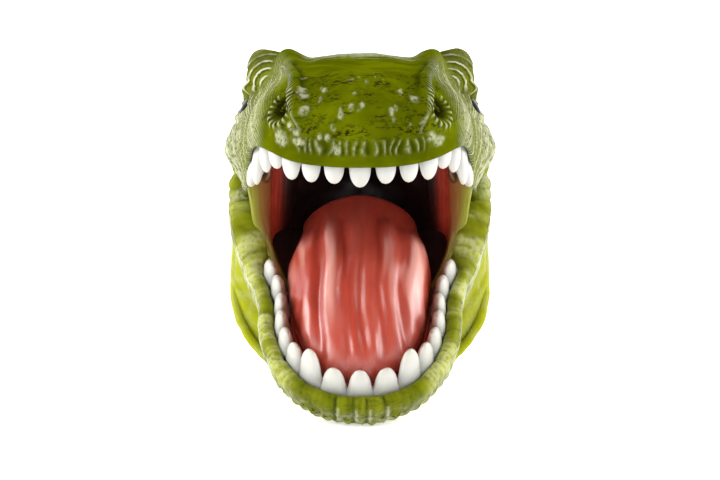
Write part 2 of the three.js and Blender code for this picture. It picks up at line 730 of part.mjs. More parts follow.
function piece(name, geometry, finish) {
  const material = new THREE.MeshStandardMaterial({ metalness: 0, ...finish });
  const mesh = new THREE.Mesh(geometry, material);
  mesh.name = name;
  return mesh;
}

// A row of teeth: one in the middle, then pairs spaced along the row.
function toothRow(prefix, row, { lengths, widths, gap, depth, splay, tipUp }) {
  return lengths.flatMap((length, number) => {
    const sides = number === 0 ? [["middle", 1]] : [["left", -1], ["right", 1]];
    return sides.map(([label, side]) => {
      const share = rowShare(row, toothDistance(widths, gap, number));
      const place = row.at(share * side);
      const ahead = row.at(Math.min(share + SLOPE_STEP, 1) * side);
      const behind = row.at((share - SLOPE_STEP) * side);
      const along = ahead.sub(behind).setZ(0).normalize().multiplyScalar(tipUp * side);
      const tip = new THREE.Vector3(0, 0, tipUp);
      const outward = along.clone().cross(tip);
      tip.applyAxisAngle(along, radians(splay));
      outward.crossVectors(along, tip);
      const name = number === 0 ? `${prefix}_${label}` : `${prefix}_${label}_${number}`;
      const mesh = piece(name, toothGeometry(widths[number], depth, length), IVORY);
      mesh.quaternion.setFromRotationMatrix(new THREE.Matrix4().makeBasis(along, tip, outward));
      mesh.position.copy(place);
      return mesh;
    });
  });
}

// An eye is a domed button whose shank sits in a round hole of the skull.
function eyePose(side) {
  const [along, up] = EYE_PLACE;
  const facing = surfaceNormal(skullBase, along * side, up);
  const place = skullOutside(along * side, up).addScaledVector(facing, -EYE_SINK);
  const turn = new THREE.Quaternion().setFromUnitVectors(new THREE.Vector3(0, 1, 0), facing);
  return new THREE.Matrix4().compose(place, turn, new THREE.Vector3(1, 1, 1));
}

function eyeGeometry() {
  const shank = [[0, -EYE_SHANK], [EYE_RADIUS, -EYE_SHANK]];
  const dome = EYE_PROFILE.map(([radius, height]) => [radius * EYE_RADIUS, height * EYE_BULGE]);
  return turnedProfile([...shank, ...dome], EYE_SIDES);
}

function eyeHole() {
  const radius = EYE_RADIUS + FIT;
  const half = EYE_SHANK * 2;
  return turnedProfile([[0, -half], [radius, -half], [radius, half], [0, half]], EYE_SIDES);
}

function skullGeometry() {
  const [around, up] = SKULL_STEPS;
  const skin = wall(skullOutside, skullInside, steps(around * 2, -1, 1), steps(up, 0, 1), { fold: true });
  const holes = [-1, 1].map((side) => toSolid(eyeHole().applyMatrix4(eyePose(side))));
  return fromSolid(holes.reduce((solid, hole) => solid.subtract(hole), toSolid(skin)));
}

function linerGeometry(outer, inner) {
  const [around, up] = LINER_STEPS;
  return wall(outer, inner, steps(around * 2, -1, 1), steps(up, 0, 1), { fold: true });
}

function jawGeometry() {
  const [around, down] = JAW_STEPS;
  const columns = steps(around * 2, -1, 1);
  return wall(jawOutside, jawInside, columns, steps(down, 0, 1), { fold: true, roll: ROLL_HEIGHT });
}

function tongueGeometry() {
  const [around, up] = TONGUE_STEPS;
  return wall(tongueTop, tongueBottom, steps(around * 2, -1, 1), steps(up, 0, 1), { fold: true });
}

function neckGeometry() {
  const [around, along] = NECK_STEPS;
  const turns = steps(around, 0, 2).slice(0, -1);
  const from = (surface) => (turn, share) => surface(turn, lerp(sleeveStart(turn), 1, share));
  return wall(from(neckOutside), from(neckInside), turns, steps(along, 0, 1), { wrap: true });
}

// A soft sheet over a stretch of columns and rows of a surface.
function softSheet(surface, thickness, [across, along], columns, rows, range) {
  return sheet(surface, thickness, steps(across, ...columns), steps(along, ...rows), range);
}

const WHOLE = [0, 1];
const napeFold = softSheet(napeSurface, FOLD_WALL, FOLD_STEPS, NAPE_TURNS, WHOLE, WHOLE);
const throatFold = softSheet(throatSurface, FOLD_WALL, FOLD_STEPS, THROAT_TURNS, WHOLE, WHOLE);
const throatLining = softSheet(pouchSurface, LINER_WALL, POUCH_STEPS, POUCH_SPAN, POUCH_DROP);
const leftWeb = softSheet(webSurface(-1), -WEB_WALL, WEB_STEPS, WHOLE, WEB_DROP, WHOLE);
const rightWeb = softSheet(webSurface(1), WEB_WALL, WEB_STEPS, WHOLE, WEB_DROP, WHOLE);

const neck = new THREE.Group();
neck.add(
  piece("neck_sleeve", neckGeometry(), GREEN),
  piece("nape_fold", napeFold, GREEN),
  piece("throat_fold", throatFold, PALE_GREEN),
  piece("throat_lining", throatLining, MOUTH_RED),
  piece("cheek_web_left", leftWeb, MOUTH_RED),
  piece("cheek_web_right", rightWeb, MOUTH_RED),
);

const head = new THREE.Group();
head.rotation.x = headPitch;
head.add(
  piece("skull_skin", skullGeometry(), GREEN),
  piece("palate", linerGeometry(palateOver, palateUnder), MOUTH_RED),
  piece("eye_left", eyeGeometry().applyMatrix4(eyePose(-1)), EYE_BLACK),
  piece("eye_right", eyeGeometry().applyMatrix4(eyePose(1)), EYE_BLACK),
  ...toothRow("upper_tooth", upperRow, {
    lengths: UPPER_LENGTHS,
    widths: UPPER_WIDTHS,
    gap: UPPER_GAP,
    depth: UPPER_TOOTH_DEPTH,
    splay: UPPER_SPLAY,
    tipUp: -1,
  }),
);

const jaw = new THREE.Group();
jaw.rotation.x = jawPitch;
jaw.add(
  piece("jaw_skin", jawGeometry(), PALE_GREEN),
  piece("mouth_floor", linerGeometry(floorUnder, floorTop), MOUTH_RED),
  piece("tongue", tongueGeometry(), TONGUE_RED),
  ...toothRow("lower_tooth", lowerRow, {
    lengths: LOWER_LENGTHS,
    widths: LOWER_WIDTHS,
    gap: LOWER_GAP,
    depth: LOWER_TOOTH_DEPTH,
    splay: LOWER_SPLAY,
    tipUp: 1,
  }),
);

const figure = new THREE.Group();
figure.add(neck, head, jaw);
const puppet = new THREE.Group();
puppet.add(figure);

// The origin is the middle of the box, on the table.
puppet.updateMatrixWorld(true);
const box = new THREE.Box3().setFromObject(puppet, true);
const middle = box.getCenter(new THREE.Vector3());
figure.position.set(-middle.x, -middle.y, -box.min.z);
const sizes = box.getSize(new THREE.Vector3()).toArray();
console.log(`hinge at y ${figure.position.y.toFixed(4)}, z ${figure.position.z.toFixed(4)}`);
console.log(`jaw drops ${THREE.MathUtils.radToDeg(jawPitch).toFixed(3)} degrees`);
console.log(`overall ${sizes.map((size) => size.toFixed(3)).join(" x ")}`);

export default puppet;
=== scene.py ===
import json
import math
from types import SimpleNamespace as Marks

import bpy
import numpy as np
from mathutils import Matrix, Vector, noise


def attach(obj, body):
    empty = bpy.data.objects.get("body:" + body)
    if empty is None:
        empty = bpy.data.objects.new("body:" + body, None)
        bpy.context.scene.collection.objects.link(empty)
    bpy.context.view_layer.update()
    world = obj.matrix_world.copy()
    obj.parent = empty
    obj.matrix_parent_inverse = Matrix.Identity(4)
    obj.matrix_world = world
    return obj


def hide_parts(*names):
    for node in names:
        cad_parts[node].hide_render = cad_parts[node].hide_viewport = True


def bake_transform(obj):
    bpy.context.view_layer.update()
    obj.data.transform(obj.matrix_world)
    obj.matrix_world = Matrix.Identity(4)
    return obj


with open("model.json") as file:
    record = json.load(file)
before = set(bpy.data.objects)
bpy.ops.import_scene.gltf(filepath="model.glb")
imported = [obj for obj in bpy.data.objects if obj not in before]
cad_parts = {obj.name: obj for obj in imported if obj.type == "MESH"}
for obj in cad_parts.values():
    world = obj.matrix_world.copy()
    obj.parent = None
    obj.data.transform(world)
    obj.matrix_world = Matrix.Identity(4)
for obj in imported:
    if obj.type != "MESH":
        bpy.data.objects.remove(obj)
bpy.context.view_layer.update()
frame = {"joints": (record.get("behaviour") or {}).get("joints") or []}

MM = 0.001
HINGE = np.array(frame["joints"][0]["pos_m"]) / MM

# Stance, in degrees
HEAD_PITCH = 6.0
JAW_PITCH = 35.793

# Upper lip and skull
LIP_TIP = 110.5
LIP_SHOULDER = 50.0
LIP_CORNER = 8.0
SNOUT_HALF_WIDTH = 42.5
LIP_CORNER_HALF_WIDTH = 46.0
CHEEK_FLARE = 7.0
FLARE_SWEEP = 0.2
LIP_ROUNDNESS = 2.2
LIP_TIP_HEIGHT = 2.9
LIP_CORNER_HEIGHT = -2.5
LIP_ARCH = 12.0
LIP_ARCH_REACH = 79.0
LIP_ARCH_SPREAD = 26.0
SNOUT_HEIGHT = 39.5
CROWN_HEIGHT = 50.0
NOSE_LENGTH = 30.5
RIDGE_REAR = 2.0
SNOUT_ROUNDNESS = 2.8
CROWN_ROUNDNESS = 2.2
LIP_WALL = 2.4
SKULL_WALL = 3.0

# Places on the skull, as shares of the lip line and of the way up to the crown
BROW_PLACE = (0.935, 0.57)
HORN_PLACE = (0.8, 0.655)
CHEEK_PLACE = (0.95, 0.18)
EYE_PLACE = (0.915, 0.39)
NOSTRIL_PLACE = (0.287, 0.315)
RIDGE_PATH = ((0.208, 0.29), (0.236, 0.43), (0.294, 0.54), (0.47, 0.6), (0.8, 0.655))

# Lower jaw
JAW_TIP = 102.5
JAW_SHOULDER = 52.0
JAW_CORNER = 8.0
JAW_HALF_WIDTH = 39.5
JAW_CORNER_HALF_WIDTH = 52.4
JAW_ROUNDNESS = 2.15
JAW_RIM_HEIGHT = -22.5
JAW_CORNER_HEIGHT = -7.2
JAW_RAMP_REACH = 36.0
CHIN_LENGTH = 18.5
CHIN_DEPTH = 15.0
KEEL_END = 30.0
THROAT_DEPTH = 27.5
JAW_SECTION_ROUNDNESS = 2.5
JAW_WALL = 2.8
ROLL_WIDTH = 6.4
ROLL_HEIGHT = 3.6
ROLL_FILL_LENGTH = 10.0
ROLL_FILL_REACH = 35.0

# Teeth, from the middle of the row to its back
UPPER_LENGTHS = (8, 7, 7.5, 8.8, 7.8, 10.5, 13, 10, 6.5)
UPPER_WIDTHS = (7.6, 7.2, 7.2, 8.4, 8.4, 8.6, 8.8, 8.4, 7.6)
LOWER_LENGTHS = (12.5, 12, 16.5, 11, 9.5, 9, 8.5, 9, 9)
LOWER_WIDTHS = (9, 9.2, 9.6, 9.2, 9, 9, 9, 9, 8.6)
UPPER_GAP = 1.5
LOWER_GAP = 0.5
UPPER_TOOTH_DEPTH = 5.0
LOWER_TOOTH_DEPTH = 5.2
UPPER_ROW_INSET = 5.3
LOWER_ROW_INSET = 9.4
TOOTH_ROOT = 3.0
UPPER_SPLAY = (8.0, 34.0)
LOWER_SPLAY = (8.0, 8.0)
UPPER_REAR_INSET = 3.0
TOOTH_BEND = 0.12

# Mouth linings
LINER_WALL = 2.0
PALATE_INSET = 8.2
PALATE_RISE = 2.0
PALATE_FRONT_HEIGHT = 14.0
PALATE_REAR_HEIGHT = 20.0
PALATE_END = 4.0
FLOOR_INSET = 12.4
FLOOR_DROP = 1.0
FLOOR_SAG = 3.0
FLOOR_END = -3.0
LINER_ROUNDNESS = 2.3
POUCH_DEPTH = 17.0
POUCH_HALF = 0.5
POUCH_LAP = 1.6
WEB_UPPER_REACH = 15.0
WEB_LOWER_REACH = 30.0
WEB_SWEEP = (0.04, 0.5)
WEB_FLANGE = 0.3
WEB_DIP = 3.0

# Tongue
TONGUE_TIP = 88.1
TONGUE_SHOULDER = 30.0
TONGUE_ROOT = 4.0
TONGUE_HALF_WIDTH = 28.0
TONGUE_ROOT_HALF_WIDTH = 23.0
TONGUE_TIP_LENGTH = 26.0
TONGUE_TIP_RISE = 12.0
TONGUE_BODY_RISE = 18.0
TONGUE_ROUNDNESS = 2.2
TONGUE_SECTION_ROUNDNESS = 2.6
TONGUE_BASE = -23.1

# Neck
CUFF_REACH = 62.0
CUFF_HALF_WIDTH = 50.0
CUFF_TOP = 3.0
CUFF_MIDDLE = -38.0
NECK_ROUNDNESS = 3.4
THROAT_GAP = 5.0
NECK_FRONT_TURN = 9.0
NECK_FLARE_TURN = 4.0
NECK_WALL = 3.2
NECK_SWEEP = 60.0
CUFF_SWEEP = 34.0
SOLE_CUT = 1.5
LOBE_RISE = 3.0
LOBE_HEIGHT = -56.0
LOBE_SPREAD = 22.0
PINCH = 3.5
PINCH_HEIGHT = -22.0
PINCH_SPREAD = 16.0
HINGE_HEIGHT = HINGE[2]

NOSE_SHARE = 0.62
SLOPE_STEP = 1e-3
WELD_DIGITS = 3
SIDES = (("left", -1), ("right", 1))


# Small formulas
def lerp(a, b, share):
    return a + (b - a) * share


def smooth(share):
    share = np.clip(share, 0, 1)
    return share * share * (3 - 2 * share)


def bump(distance, spread):
    return np.exp(-((distance / spread) ** 2))


def window(value, low, high, soft):
    return smooth((value - low) / soft + 0.5) * smooth((high - value) / soft + 0.5)


def past(value, start, length):
    """0 up to the start, 1 once the length is passed."""
    return smooth((value - start) / length)


def until(value, end, length):
    """1 up to a length before the end, 0 from the end on."""
    return smooth((end - value) / length)


def up_and_down(share):
    """From 0 up to 1 at the half, and back to 0."""
    return np.where(share <= 0.5, share * 2, 2 - share * 2)


def groove(phase):
    """0 on a round crest, 1 in the sharp groove between two crests."""
    return 1 - np.abs(np.sin(np.pi * phase))


def unit(vectors):
    return vectors / np.maximum(np.linalg.norm(vectors, axis=-1, keepdims=True), 1e-9)


def same_shape(a, b):
    return np.broadcast_arrays(np.asarray(a, float), np.asarray(b, float))


def round_angles(count):
    return np.linspace(0, 2 * np.pi, count, endpoint=False)


def run(points):
    """Distance along rows of points from the first one."""
    step = np.linalg.norm(np.diff(points, axis=0), axis=-1)
    return np.concatenate([np.zeros_like(step[:1]), np.cumsum(step, axis=0)])


def from_middle(points):
    """Distance along a row of points from its middle one."""
    along = run(points)
    return along - along[len(points) // 2]


def xyz(x, y, z):
    return np.stack([x, y, z], axis=-1)


def on_middle(y, z):
    """Points on the middle plane."""
    return xyz(np.zeros_like(y), y, z)


def turn_x(points, degrees):
    angle = math.radians(degrees)
    x, y, z = points[..., 0], points[..., 1], points[..., 2]
    turned_y = y * math.cos(angle) - z * math.sin(angle)
    turned_z = y * math.sin(angle) + z * math.cos(angle)
    return xyz(x, turned_y, turned_z)


def from_head(points):
    return turn_x(points, -HEAD_PITCH)


def from_jaw(points):
    return turn_x(points, JAW_PITCH)


def graded(count, spots):
    """Shares from 0 to 1 that lie closer together near some spots (place, spread, gain)."""
    fine = np.linspace(0, 1, 2001)
    density = 1 + sum(gain * bump(fine - place, spread) for place, spread, gain in spots)
    total = np.concatenate([[0], np.cumsum((density[1:] + density[:-1]) / 2)])
    return np.interp(np.linspace(0, total[-1], count + 1), total, fine)


def both_sides(shares):
    return np.concatenate([-shares[:0:-1], shares])


def superellipse(sweep, power):
    angle = np.asarray(sweep) * np.pi / 2
    first = np.maximum(np.cos(angle), 0)
    first = np.where(np.asarray(sweep) >= 1, 0, first)
    second = np.sin(angle)
    scale = (first**power + second**power) ** (-1 / power)
    return first * scale, second * scale


def outline(tip, shoulder, corner, nose_half, corner_half, roundness, height):
    """Half of a mouth outline, from the nose to the corner; a share below zero is the left half."""

    def point(t):
        t = np.asarray(t, float)
        share = np.abs(t)
        along, across = superellipse(np.clip(share / NOSE_SHARE, 0, 1), roundness)
        side = np.clip((share - NOSE_SHARE) / (1 - NOSE_SHARE), 0, 1)
        front = share < NOSE_SHARE
        reach = np.where(front, lerp(shoulder, tip, along), lerp(shoulder, corner, side))
        half = np.where(front, nose_half * across, lerp(nose_half, corner_half, smooth(side)))
        return xyz(half * np.sign(t), -reach, height(reach))

    return point


def inset(edge, depth, lift=0.0):
    """An outline moved towards the inside of the mouth, and up or down."""

    def point(t):
        t = np.asarray(t, float)
        ahead = edge(np.minimum(np.abs(t) + SLOPE_STEP, 1))
        behind = edge(np.abs(t) - SLOPE_STEP)
        along = ahead - behind
        along[..., 2] = 0
        along = unit(along)
        place = edge(np.abs(t))
        room = depth(np.abs(t)) if callable(depth) else depth
        x = np.maximum(place[..., 0] - room * along[..., 1], 0) * np.where(t < 0, -1, 1)
        return xyz(x, place[..., 1] + room * along[..., 0], place[..., 2] + lift)

    return point


def share_at(reach, shoulder, corner):
    return NOSE_SHARE + (1 - NOSE_SHARE) * (shoulder - reach) / (shoulder - corner)


def vault(edge, ridge, roundness, flare=None):
    """A surface over an outline, up or down to a ridge on the middle plane; it may flare out."""

    def point(t, sweep):
        t, sweep = same_shape(t, sweep)
        rim = edge(t)
        top = ridge(np.abs(t))
        out, up = superellipse(sweep, roundness(np.abs(t)))
        y = lerp(top[..., 1], rim[..., 1], out)
        z = lerp(rim[..., 2], top[..., 2], up)
        half = rim[..., 0]
        if flare is not None:
            half = half + np.sign(t) * flare(np.abs(t), sweep)
        return xyz(half * out, y, z)

    return point


def surface_normal(surface, a, b):
    across = surface(np.minimum(a + SLOPE_STEP, 1), b) - surface(np.maximum(a - SLOPE_STEP, -1), b)
    along = surface(a, np.minimum(b + SLOPE_STEP, 1)) - surface(a, np.maximum(b - SLOPE_STEP, 0))
    normal = np.cross(across, along)
    middle = (np.asarray(a) == 0) | (np.asarray(b) == 1)
    normal[..., 0] = np.where(middle, 0, normal[..., 0])
    return unit(normal)


def fixed(value):
    return lambda t: value


# Noise that depends only on the place
def noise_places(points, size, seed):
    offset = Vector((seed, seed * 1.7, seed * 2.3))
    return [Vector(point) / size + offset for point in points]


def lumps(points, size, seed):
    return np.array([noise.noise(place) for place in noise_places(points, size, seed)])


def rough(points, size, octaves, seed):
    return np.array([noise.fractal(place, 1.0, 2.0, octaves) for place in noise_places(points, size, seed)])


def cells(points, size, seed):
    """Distance to the wall between two scales, 0 on the wall, and the scale's own chance number."""
    walls = np.empty(len(points))
    chance = np.empty(len(points))
    for i, place in enumerate(noise_places(points, size, seed)):
        distances, centres = noise.voronoi(place)
        walls[i] = distances[1] - distances[0]
        chance[i] = noise.cell(centres[0] * 7.3)
    return walls, chance


# Surfaces under construction
class Sheet:
    """Points about the hinge in millimetres, faces of four corners, and masks with a number per point."""

    def __init__(self, points, quads, **masks):
        self.points = np.asarray(points, float).reshape(-1, 3)
        self.quads = np.asarray(quads, int).reshape(-1, 4)
        self.masks = {name: np.ravel(values).astype(float) for name, values in masks.items()}

    def normals(self):
        corner = self.points[self.quads]
        face = np.cross(corner[:, 2] - corner[:, 0], corner[:, 3] - corner[:, 1])
        total = np.zeros_like(self.points)
        for k in range(4):
            np.add.at(total, self.quads[:, k], face)
        return unit(total)

    def volume(self):
        a, b, c, d = (self.points[self.quads[:, k]] for k in range(4))
        return np.sum(a * np.cross(b, c)) + np.sum(a * np.cross(c, d))

    def flipped(self):
        return Sheet(self.points, self.quads[:, ::-1], **self.masks)

    def welded(self):
        keys = np.round(self.points, WELD_DIGITS) + 0.0
        _, first, back = np.unique(keys, axis=0, return_index=True, return_inverse=True)
        masks = {name: values[first] for name, values in self.masks.items()}
        quads = np.ravel(back)[self.quads]
        flat = (quads[:, 0] == quads[:, 2]) | (quads[:, 1] == quads[:, 3])
        return Sheet(self.points[first], quads[~flat], **masks)


def grid(points, wrap=False, **masks):
    """A sheet of rows and columns; wrap joins the last column to the first."""
    rows, columns = points.shape[:2]
    number = np.arange(rows * columns).reshape(rows, columns)
    if wrap:
        number = np.concatenate([number, number[:, :1]], axis=1)
    quads = np.stack([number[:-1, :-1], number[:-1, 1:], number[1:, 1:], number[1:, :-1]], axis=-1)
    spread = {name: np.broadcast_to(values, (rows, columns)) for name, values in masks.items()}
    return Sheet(points, quads, **spread)


def joined(*sheets):
    start = np.cumsum([0] + [len(sheet.points) for sheet in sheets])
    points = np.concatenate([sheet.points for sheet in sheets])
    quads = np.concatenate([sheet.quads + first for sheet, first in zip(sheets, start)])
    names = sheets[0].masks
    masks = {name: np.concatenate([sheet.masks[name] for sheet in sheets]) for name in names}
    return Sheet(points, quads, **masks).welded()


def facing(sheet, direction):
    """The sheet with its normals towards a direction, or towards one for each point."""
    if np.mean(np.sum(sheet.normals() * direction, axis=1)) < 0:
        return sheet.flipped()
    return sheet


def boundary(quads):
    """Edges, as pairs of points, that have a face on one side only."""
    edges = np.concatenate([np.stack([quads[:, k], quads[:, (k + 1) % 4]], axis=1) for k in range(4)])
    edges = edges[edges[:, 0] != edges[:, 1]]
    known = {(a, b) for a, b in edges.tolist()}
    return np.array([(a, b) for a, b in edges.tolist() if (b, a) not in known])


RIM_STEPS = 4


def closed_shell(sheet, inner):
    """Gives a sheet a back at the inner points, and rounds the edges between the two."""
    count = len(sheet.points)
    edges = boundary(sheet.quads)
    rim = np.unique(edges)
    centre = sheet.points[sheet.quads].mean(axis=1)
    away = np.zeros_like(sheet.points)
    shares = np.zeros(count)
    for k in range(4):
        np.add.at(away, sheet.quads[:, k], -centre)
        np.add.at(shares, sheet.quads[:, k], 1)
    away = away[rim] + sheet.points[rim] * shares[rim][:, None]
    outer_rim = sheet.points[rim]
    inner_rim = inner[rim]
    through = unit(outer_rim - inner_rim)
    along = np.zeros_like(sheet.points)
    np.add.at(along, edges[:, 0], sheet.points[edges[:, 1]] - sheet.points[edges[:, 0]])
    np.add.at(along, edges[:, 1], sheet.points[edges[:, 1]] - sheet.points[edges[:, 0]])
    sideways = np.cross(unit(along[rim]), through)
    sign = np.sign(np.sum(sideways * away, axis=1, keepdims=True))
    half = np.linalg.norm(outer_rim - inner_rim, axis=1, keepdims=True) / 2
    middle = (outer_rim + inner_rim) / 2
    place = {vertex: i for i, vertex in enumerate(rim.tolist())}
    rings = [rim]
    extra = []
    for step in range(1, RIM_STEPS):
        angle = math.pi * step / RIM_STEPS
        ring = middle + through * half * math.cos(angle) + unit(sideways) * sign * half * math.sin(angle)
        rings.append(count * 2 + len(rim) * (step - 1) + np.arange(len(rim)))
        extra.append(ring)
    rings.append(rim + count)
    points = np.concatenate([sheet.points, inner, *extra])
    quads = [sheet.quads, sheet.quads[:, ::-1] + count]
    first = np.array([place[a] for a in edges[:, 0].tolist()])
    second = np.array([place[b] for b in edges[:, 1].tolist()])
    for near, far in zip(rings[:-1], rings[1:]):
        quads.append(np.stack([near[second], near[first], far[first], far[second]], axis=1))
    masks = {}
    for name, values in sheet.masks.items():
        masks[name] = np.concatenate([values, values] + [values[rim]] * (RIM_STEPS - 1))
    masks["inside"] = np.zeros(len(points))
    masks["inside"][count : 2 * count] = 1
    return Sheet(points, np.concatenate(quads), **masks)


def lined(sheet, wall, relief):
    """The sheet with relief on its face and a back behind it, closed all round."""
    normals = sheet.normals()
    inner = sheet.points - normals * wall
    sheet.points = sheet.points + normals * relief[:, None]
    return closed_shell(sheet, inner)


def placed(name, data):
    """A new object in the scene."""
    made = bpy.data.objects.new(name, data)
    bpy.context.scene.collection.objects.link(made)
    return made


def make_piece(name, sheet, material):
    """Turns a closed sheet into a smooth mesh object with its faces pointing out."""
    if sheet.volume() < 0:
        sheet = sheet.flipped()
    faces = [tuple(dict.fromkeys(quad)) for quad in sheet.quads.tolist()]
    mesh = bpy.data.meshes.new(name)
    world = (sheet.points + HINGE) * MM
    mesh.from_pydata(world.tolist(), [], faces)
    mesh.validate()
    mesh.shade_smooth()
    for mask, values in sheet.masks.items():
        layer = mesh.attributes.new(mask, "FLOAT", "POINT")
        layer.data.foreach_set("value", values.astype(np.float32))
    rest = mesh.attributes.new("place", "FLOAT_VECTOR", "POINT")
    rest.data.foreach_set("vector", sheet.points.astype(np.float32).ravel())
    mesh.materials.append(material)
    return placed(name, mesh)


# Materials
class Finish:
    """A material whose colour, gloss and grain come from masks on the mesh and from noise in millimetres."""

    def __init__(self, name, roughness, specular=0.5, coat=0.0, coat_roughness=0.1):
        self.material = bpy.data.materials.new(name)
        self.material.use_nodes = True
        self.tree = self.material.node_tree
        self.shader = self.tree.nodes["Principled BSDF"]
        self.set("Roughness", roughness)
        self.set("Specular IOR Level", specular)
        self.set("Coat Weight", coat)
        self.set("Coat Roughness", coat_roughness)
        self.place = self.node("ShaderNodeAttribute", "Vector", attribute_name="place")

    def node(self, kind, output, inputs=None, **settings):
        made = self.tree.nodes.new(kind)
        for name, value in settings.items():
            setattr(made, name, value)
        for name, value in (inputs or {}).items():
            self.plug(made.inputs[name], value)
        return made.outputs[output]

    def plug(self, socket, value):
        if isinstance(value, bpy.types.NodeSocket):
            self.tree.links.new(value, socket)
        else:
            socket.default_value = value

    def set(self, name, value):
        self.plug(self.shader.inputs[name], value)

    def mask(self, name):
        """A number per point; pieces without this mask give 0."""
        return self.node("ShaderNodeAttribute", "Fac", attribute_name=name)

    def stretched(self, scale):
        return self.node("ShaderNodeVectorMath", "Vector", {0: self.place, 1: scale}, operation="MULTIPLY")

    def grain(self, size, detail=3.0, roughness=0.55, distortion=0.0, place=None):
        inputs = {"Vector": place or self.place, "Scale": 1 / size, "Detail": detail}
        inputs.update({"Roughness": roughness, "Distortion": distortion})
        return self.node("ShaderNodeTexNoise", "Fac", inputs)

    def scales(self, size):
        inputs = {"Vector": self.place, "Scale": 1 / size}
        return self.node("ShaderNodeTexVoronoi", "Distance", inputs, feature="DISTANCE_TO_EDGE")

    def span(self, value, low, high, to_low=0.0, to_high=1.0):
        inputs = {"Value": value, "From Min": low, "From Max": high, "To Min": to_low, "To Max": to_high}
        return self.node("ShaderNodeMapRange", "Result", inputs, interpolation_type="SMOOTHSTEP")

    def math(self, operation, *values):
        return self.node("ShaderNodeMath", "Value", dict(enumerate(values)), operation=operation)

    def times(self, product, *others):
        for other in others:
            product = self.math("MULTIPLY", product, other)
        return product

    def mix(self, share, a, b):
        made = self.tree.nodes.new("ShaderNodeMix")
        made.data_type = "RGBA"
        self.plug(made.inputs["Factor"], share)
        colours = [socket for socket in made.inputs if socket.type == "RGBA"]
        self.plug(colours[0], a)
        self.plug(colours[1], b)
        return next(socket for socket in made.outputs if socket.type == "RGBA")

    def relief(self, height, depth, strength=1.0, under=None):
        inputs = {"Height": height, "Distance": depth * MM, "Strength": strength}
        if under is not None:
            inputs["Normal"] = under
        return self.node("ShaderNodeBump", "Normal", inputs)


def colour(red, green, blue):
    """A colour as the screen shows it, 0 to 255, for a shader socket."""
    shown = np.array([red, green, blue]) / 255
    linear = np.where(shown <= 0.04045, shown / 12.92, ((shown + 0.055) / 1.055) ** 2.4)
    return (*linear.tolist(), 1.0)


OLIVE = colour(72, 79, 1)
LIME = colour(90, 98, 2)
YELLOW_GREEN = colour(164, 168, 34)
LEAF = colour(136, 142, 44)
# Colour of painted shade on the skin
SHADE_OLIVE = colour(36, 42, 2)
SPRAY = colour(34, 32, 8)
# Chalky paint, also the colour of painted highlights and painted sheen
CHALK_AND_HIGHLIGHT = colour(180, 182, 152)
BRICK = colour(156, 54, 38)
DARK_BRICK = colour(140, 42, 28)
PINK = colour(186, 94, 78)
SHINE = colour(226, 172, 160)
BLOOD = colour(146, 44, 28)
FRESH_BLOOD = colour(164, 54, 36)
# Colour of painted shade far inside the mouth
MOUTH_SHADE = colour(24, 6, 5)
BROWN = colour(120, 74, 34)
TOOTH_STAIN = colour(120, 66, 44)
IVORY = colour(182, 182, 178)
BONE = colour(176, 168, 150)
EYE_COLOURS = (colour(8, 8, 8), colour(20, 17, 12))
WARM_GLOSS = (1.0, 1.0, 0.25, 1.0)


def skin_finish(name, specular):
    finish = Finish(name, roughness=0.36, specular=specular)
    finish.set("Specular Tint", WARM_GLOSS)
    # Olive patches, paler yellow-green where the skin is bare, and painted shade of darker olive in the
    # hollows, creases and grooves, mixed with some dark paint
    patches = finish.span(finish.grain(16, 3), 0.38, 0.66)
    body = finish.mix(patches, OLIVE, LIME)
    body = finish.mix(finish.mask("pale"), body, YELLOW_GREEN)
    body = finish.mix(finish.times(finish.mask("hollow"), 0.85), body, SHADE_OLIVE)
    # Dark spray in short strokes
    strokes = finish.stretched((0.4, 1.0, 1.0))
    specks = finish.span(finish.grain(0.8, 2, 0.6, 0.0, strokes), 0.47, 0.57)
    clusters = finish.span(finish.grain(3.6, 2, 0.5, 0.4, strokes), 0.42, 0.56)
    body = finish.mix(finish.times(specks, clusters, finish.mask("spray")), body, SPRAY)
    # Thin lines of painted light: a painted highlight on the crests and painted shade in the gap, each time
    # line_way grows by one; noise breaks up the highlights
    line = finish.math("FRACT", finish.mask("line_way"))
    gap = finish.times(finish.span(line, 0.62, 0.98), 0.7, finish.mask("line"))
    crest = finish.times(finish.span(line, 0.0, 0.07), finish.span(line, 0.26, 0.14))
    highlight_breakup = finish.span(finish.grain(5, 2), 0.34, 0.6, 0.35, 1.0)
    body = finish.mix(gap, body, SHADE_OLIVE)
    body = finish.mix(finish.times(crest, highlight_breakup, finish.mask("line")), body, CHALK_AND_HIGHLIGHT)
    # Chalky paint with ragged edges, in the same pale colour as the painted highlights and painted sheen
    ragged = finish.span(finish.grain(1.4, 3, 0.6), 0.3, 0.55)
    ragged = finish.math("MAXIMUM", ragged, finish.span(finish.mask("chalk"), 0.5, 0.9, 0.0, 0.7))
    body = finish.mix(finish.times(finish.mask("chalk"), ragged), body, CHALK_AND_HIGHLIGHT)
    # Twisted rope, with a painted highlight on each strand and painted shade between strands
    strands = finish.math("SINE", finish.times(finish.mask("rope_way"), 2 * math.pi))
    strand_highlight = finish.times(finish.mask("rope"), finish.span(strands, 0.0, 0.8), 0.6)
    strand_shade = finish.times(finish.mask("rope"), finish.span(strands, -0.2, -0.9), 0.7)
    body = finish.mix(strand_highlight, body, CHALK_AND_HIGHLIGHT)
    body = finish.mix(strand_shade, body, SHADE_OLIVE)
    # Painted shade, very dark, inside the nostril pits
    body = finish.mix(finish.mask("black"), body, SPRAY)
    finish.set("Base Color", body)
    finish.set("Roughness", finish.span(finish.grain(4, 3), 0.3, 0.7, 0.28, 0.42))
    rope = finish.relief(finish.times(finish.mask("rope"), strands), 0.3)
    leather = finish.relief(finish.scales(1.5), 0.1, 0.6, rope)
    finish.set("Normal", finish.relief(finish.grain(0.6, 3), 0.05, 0.5, leather))
    return finish.material


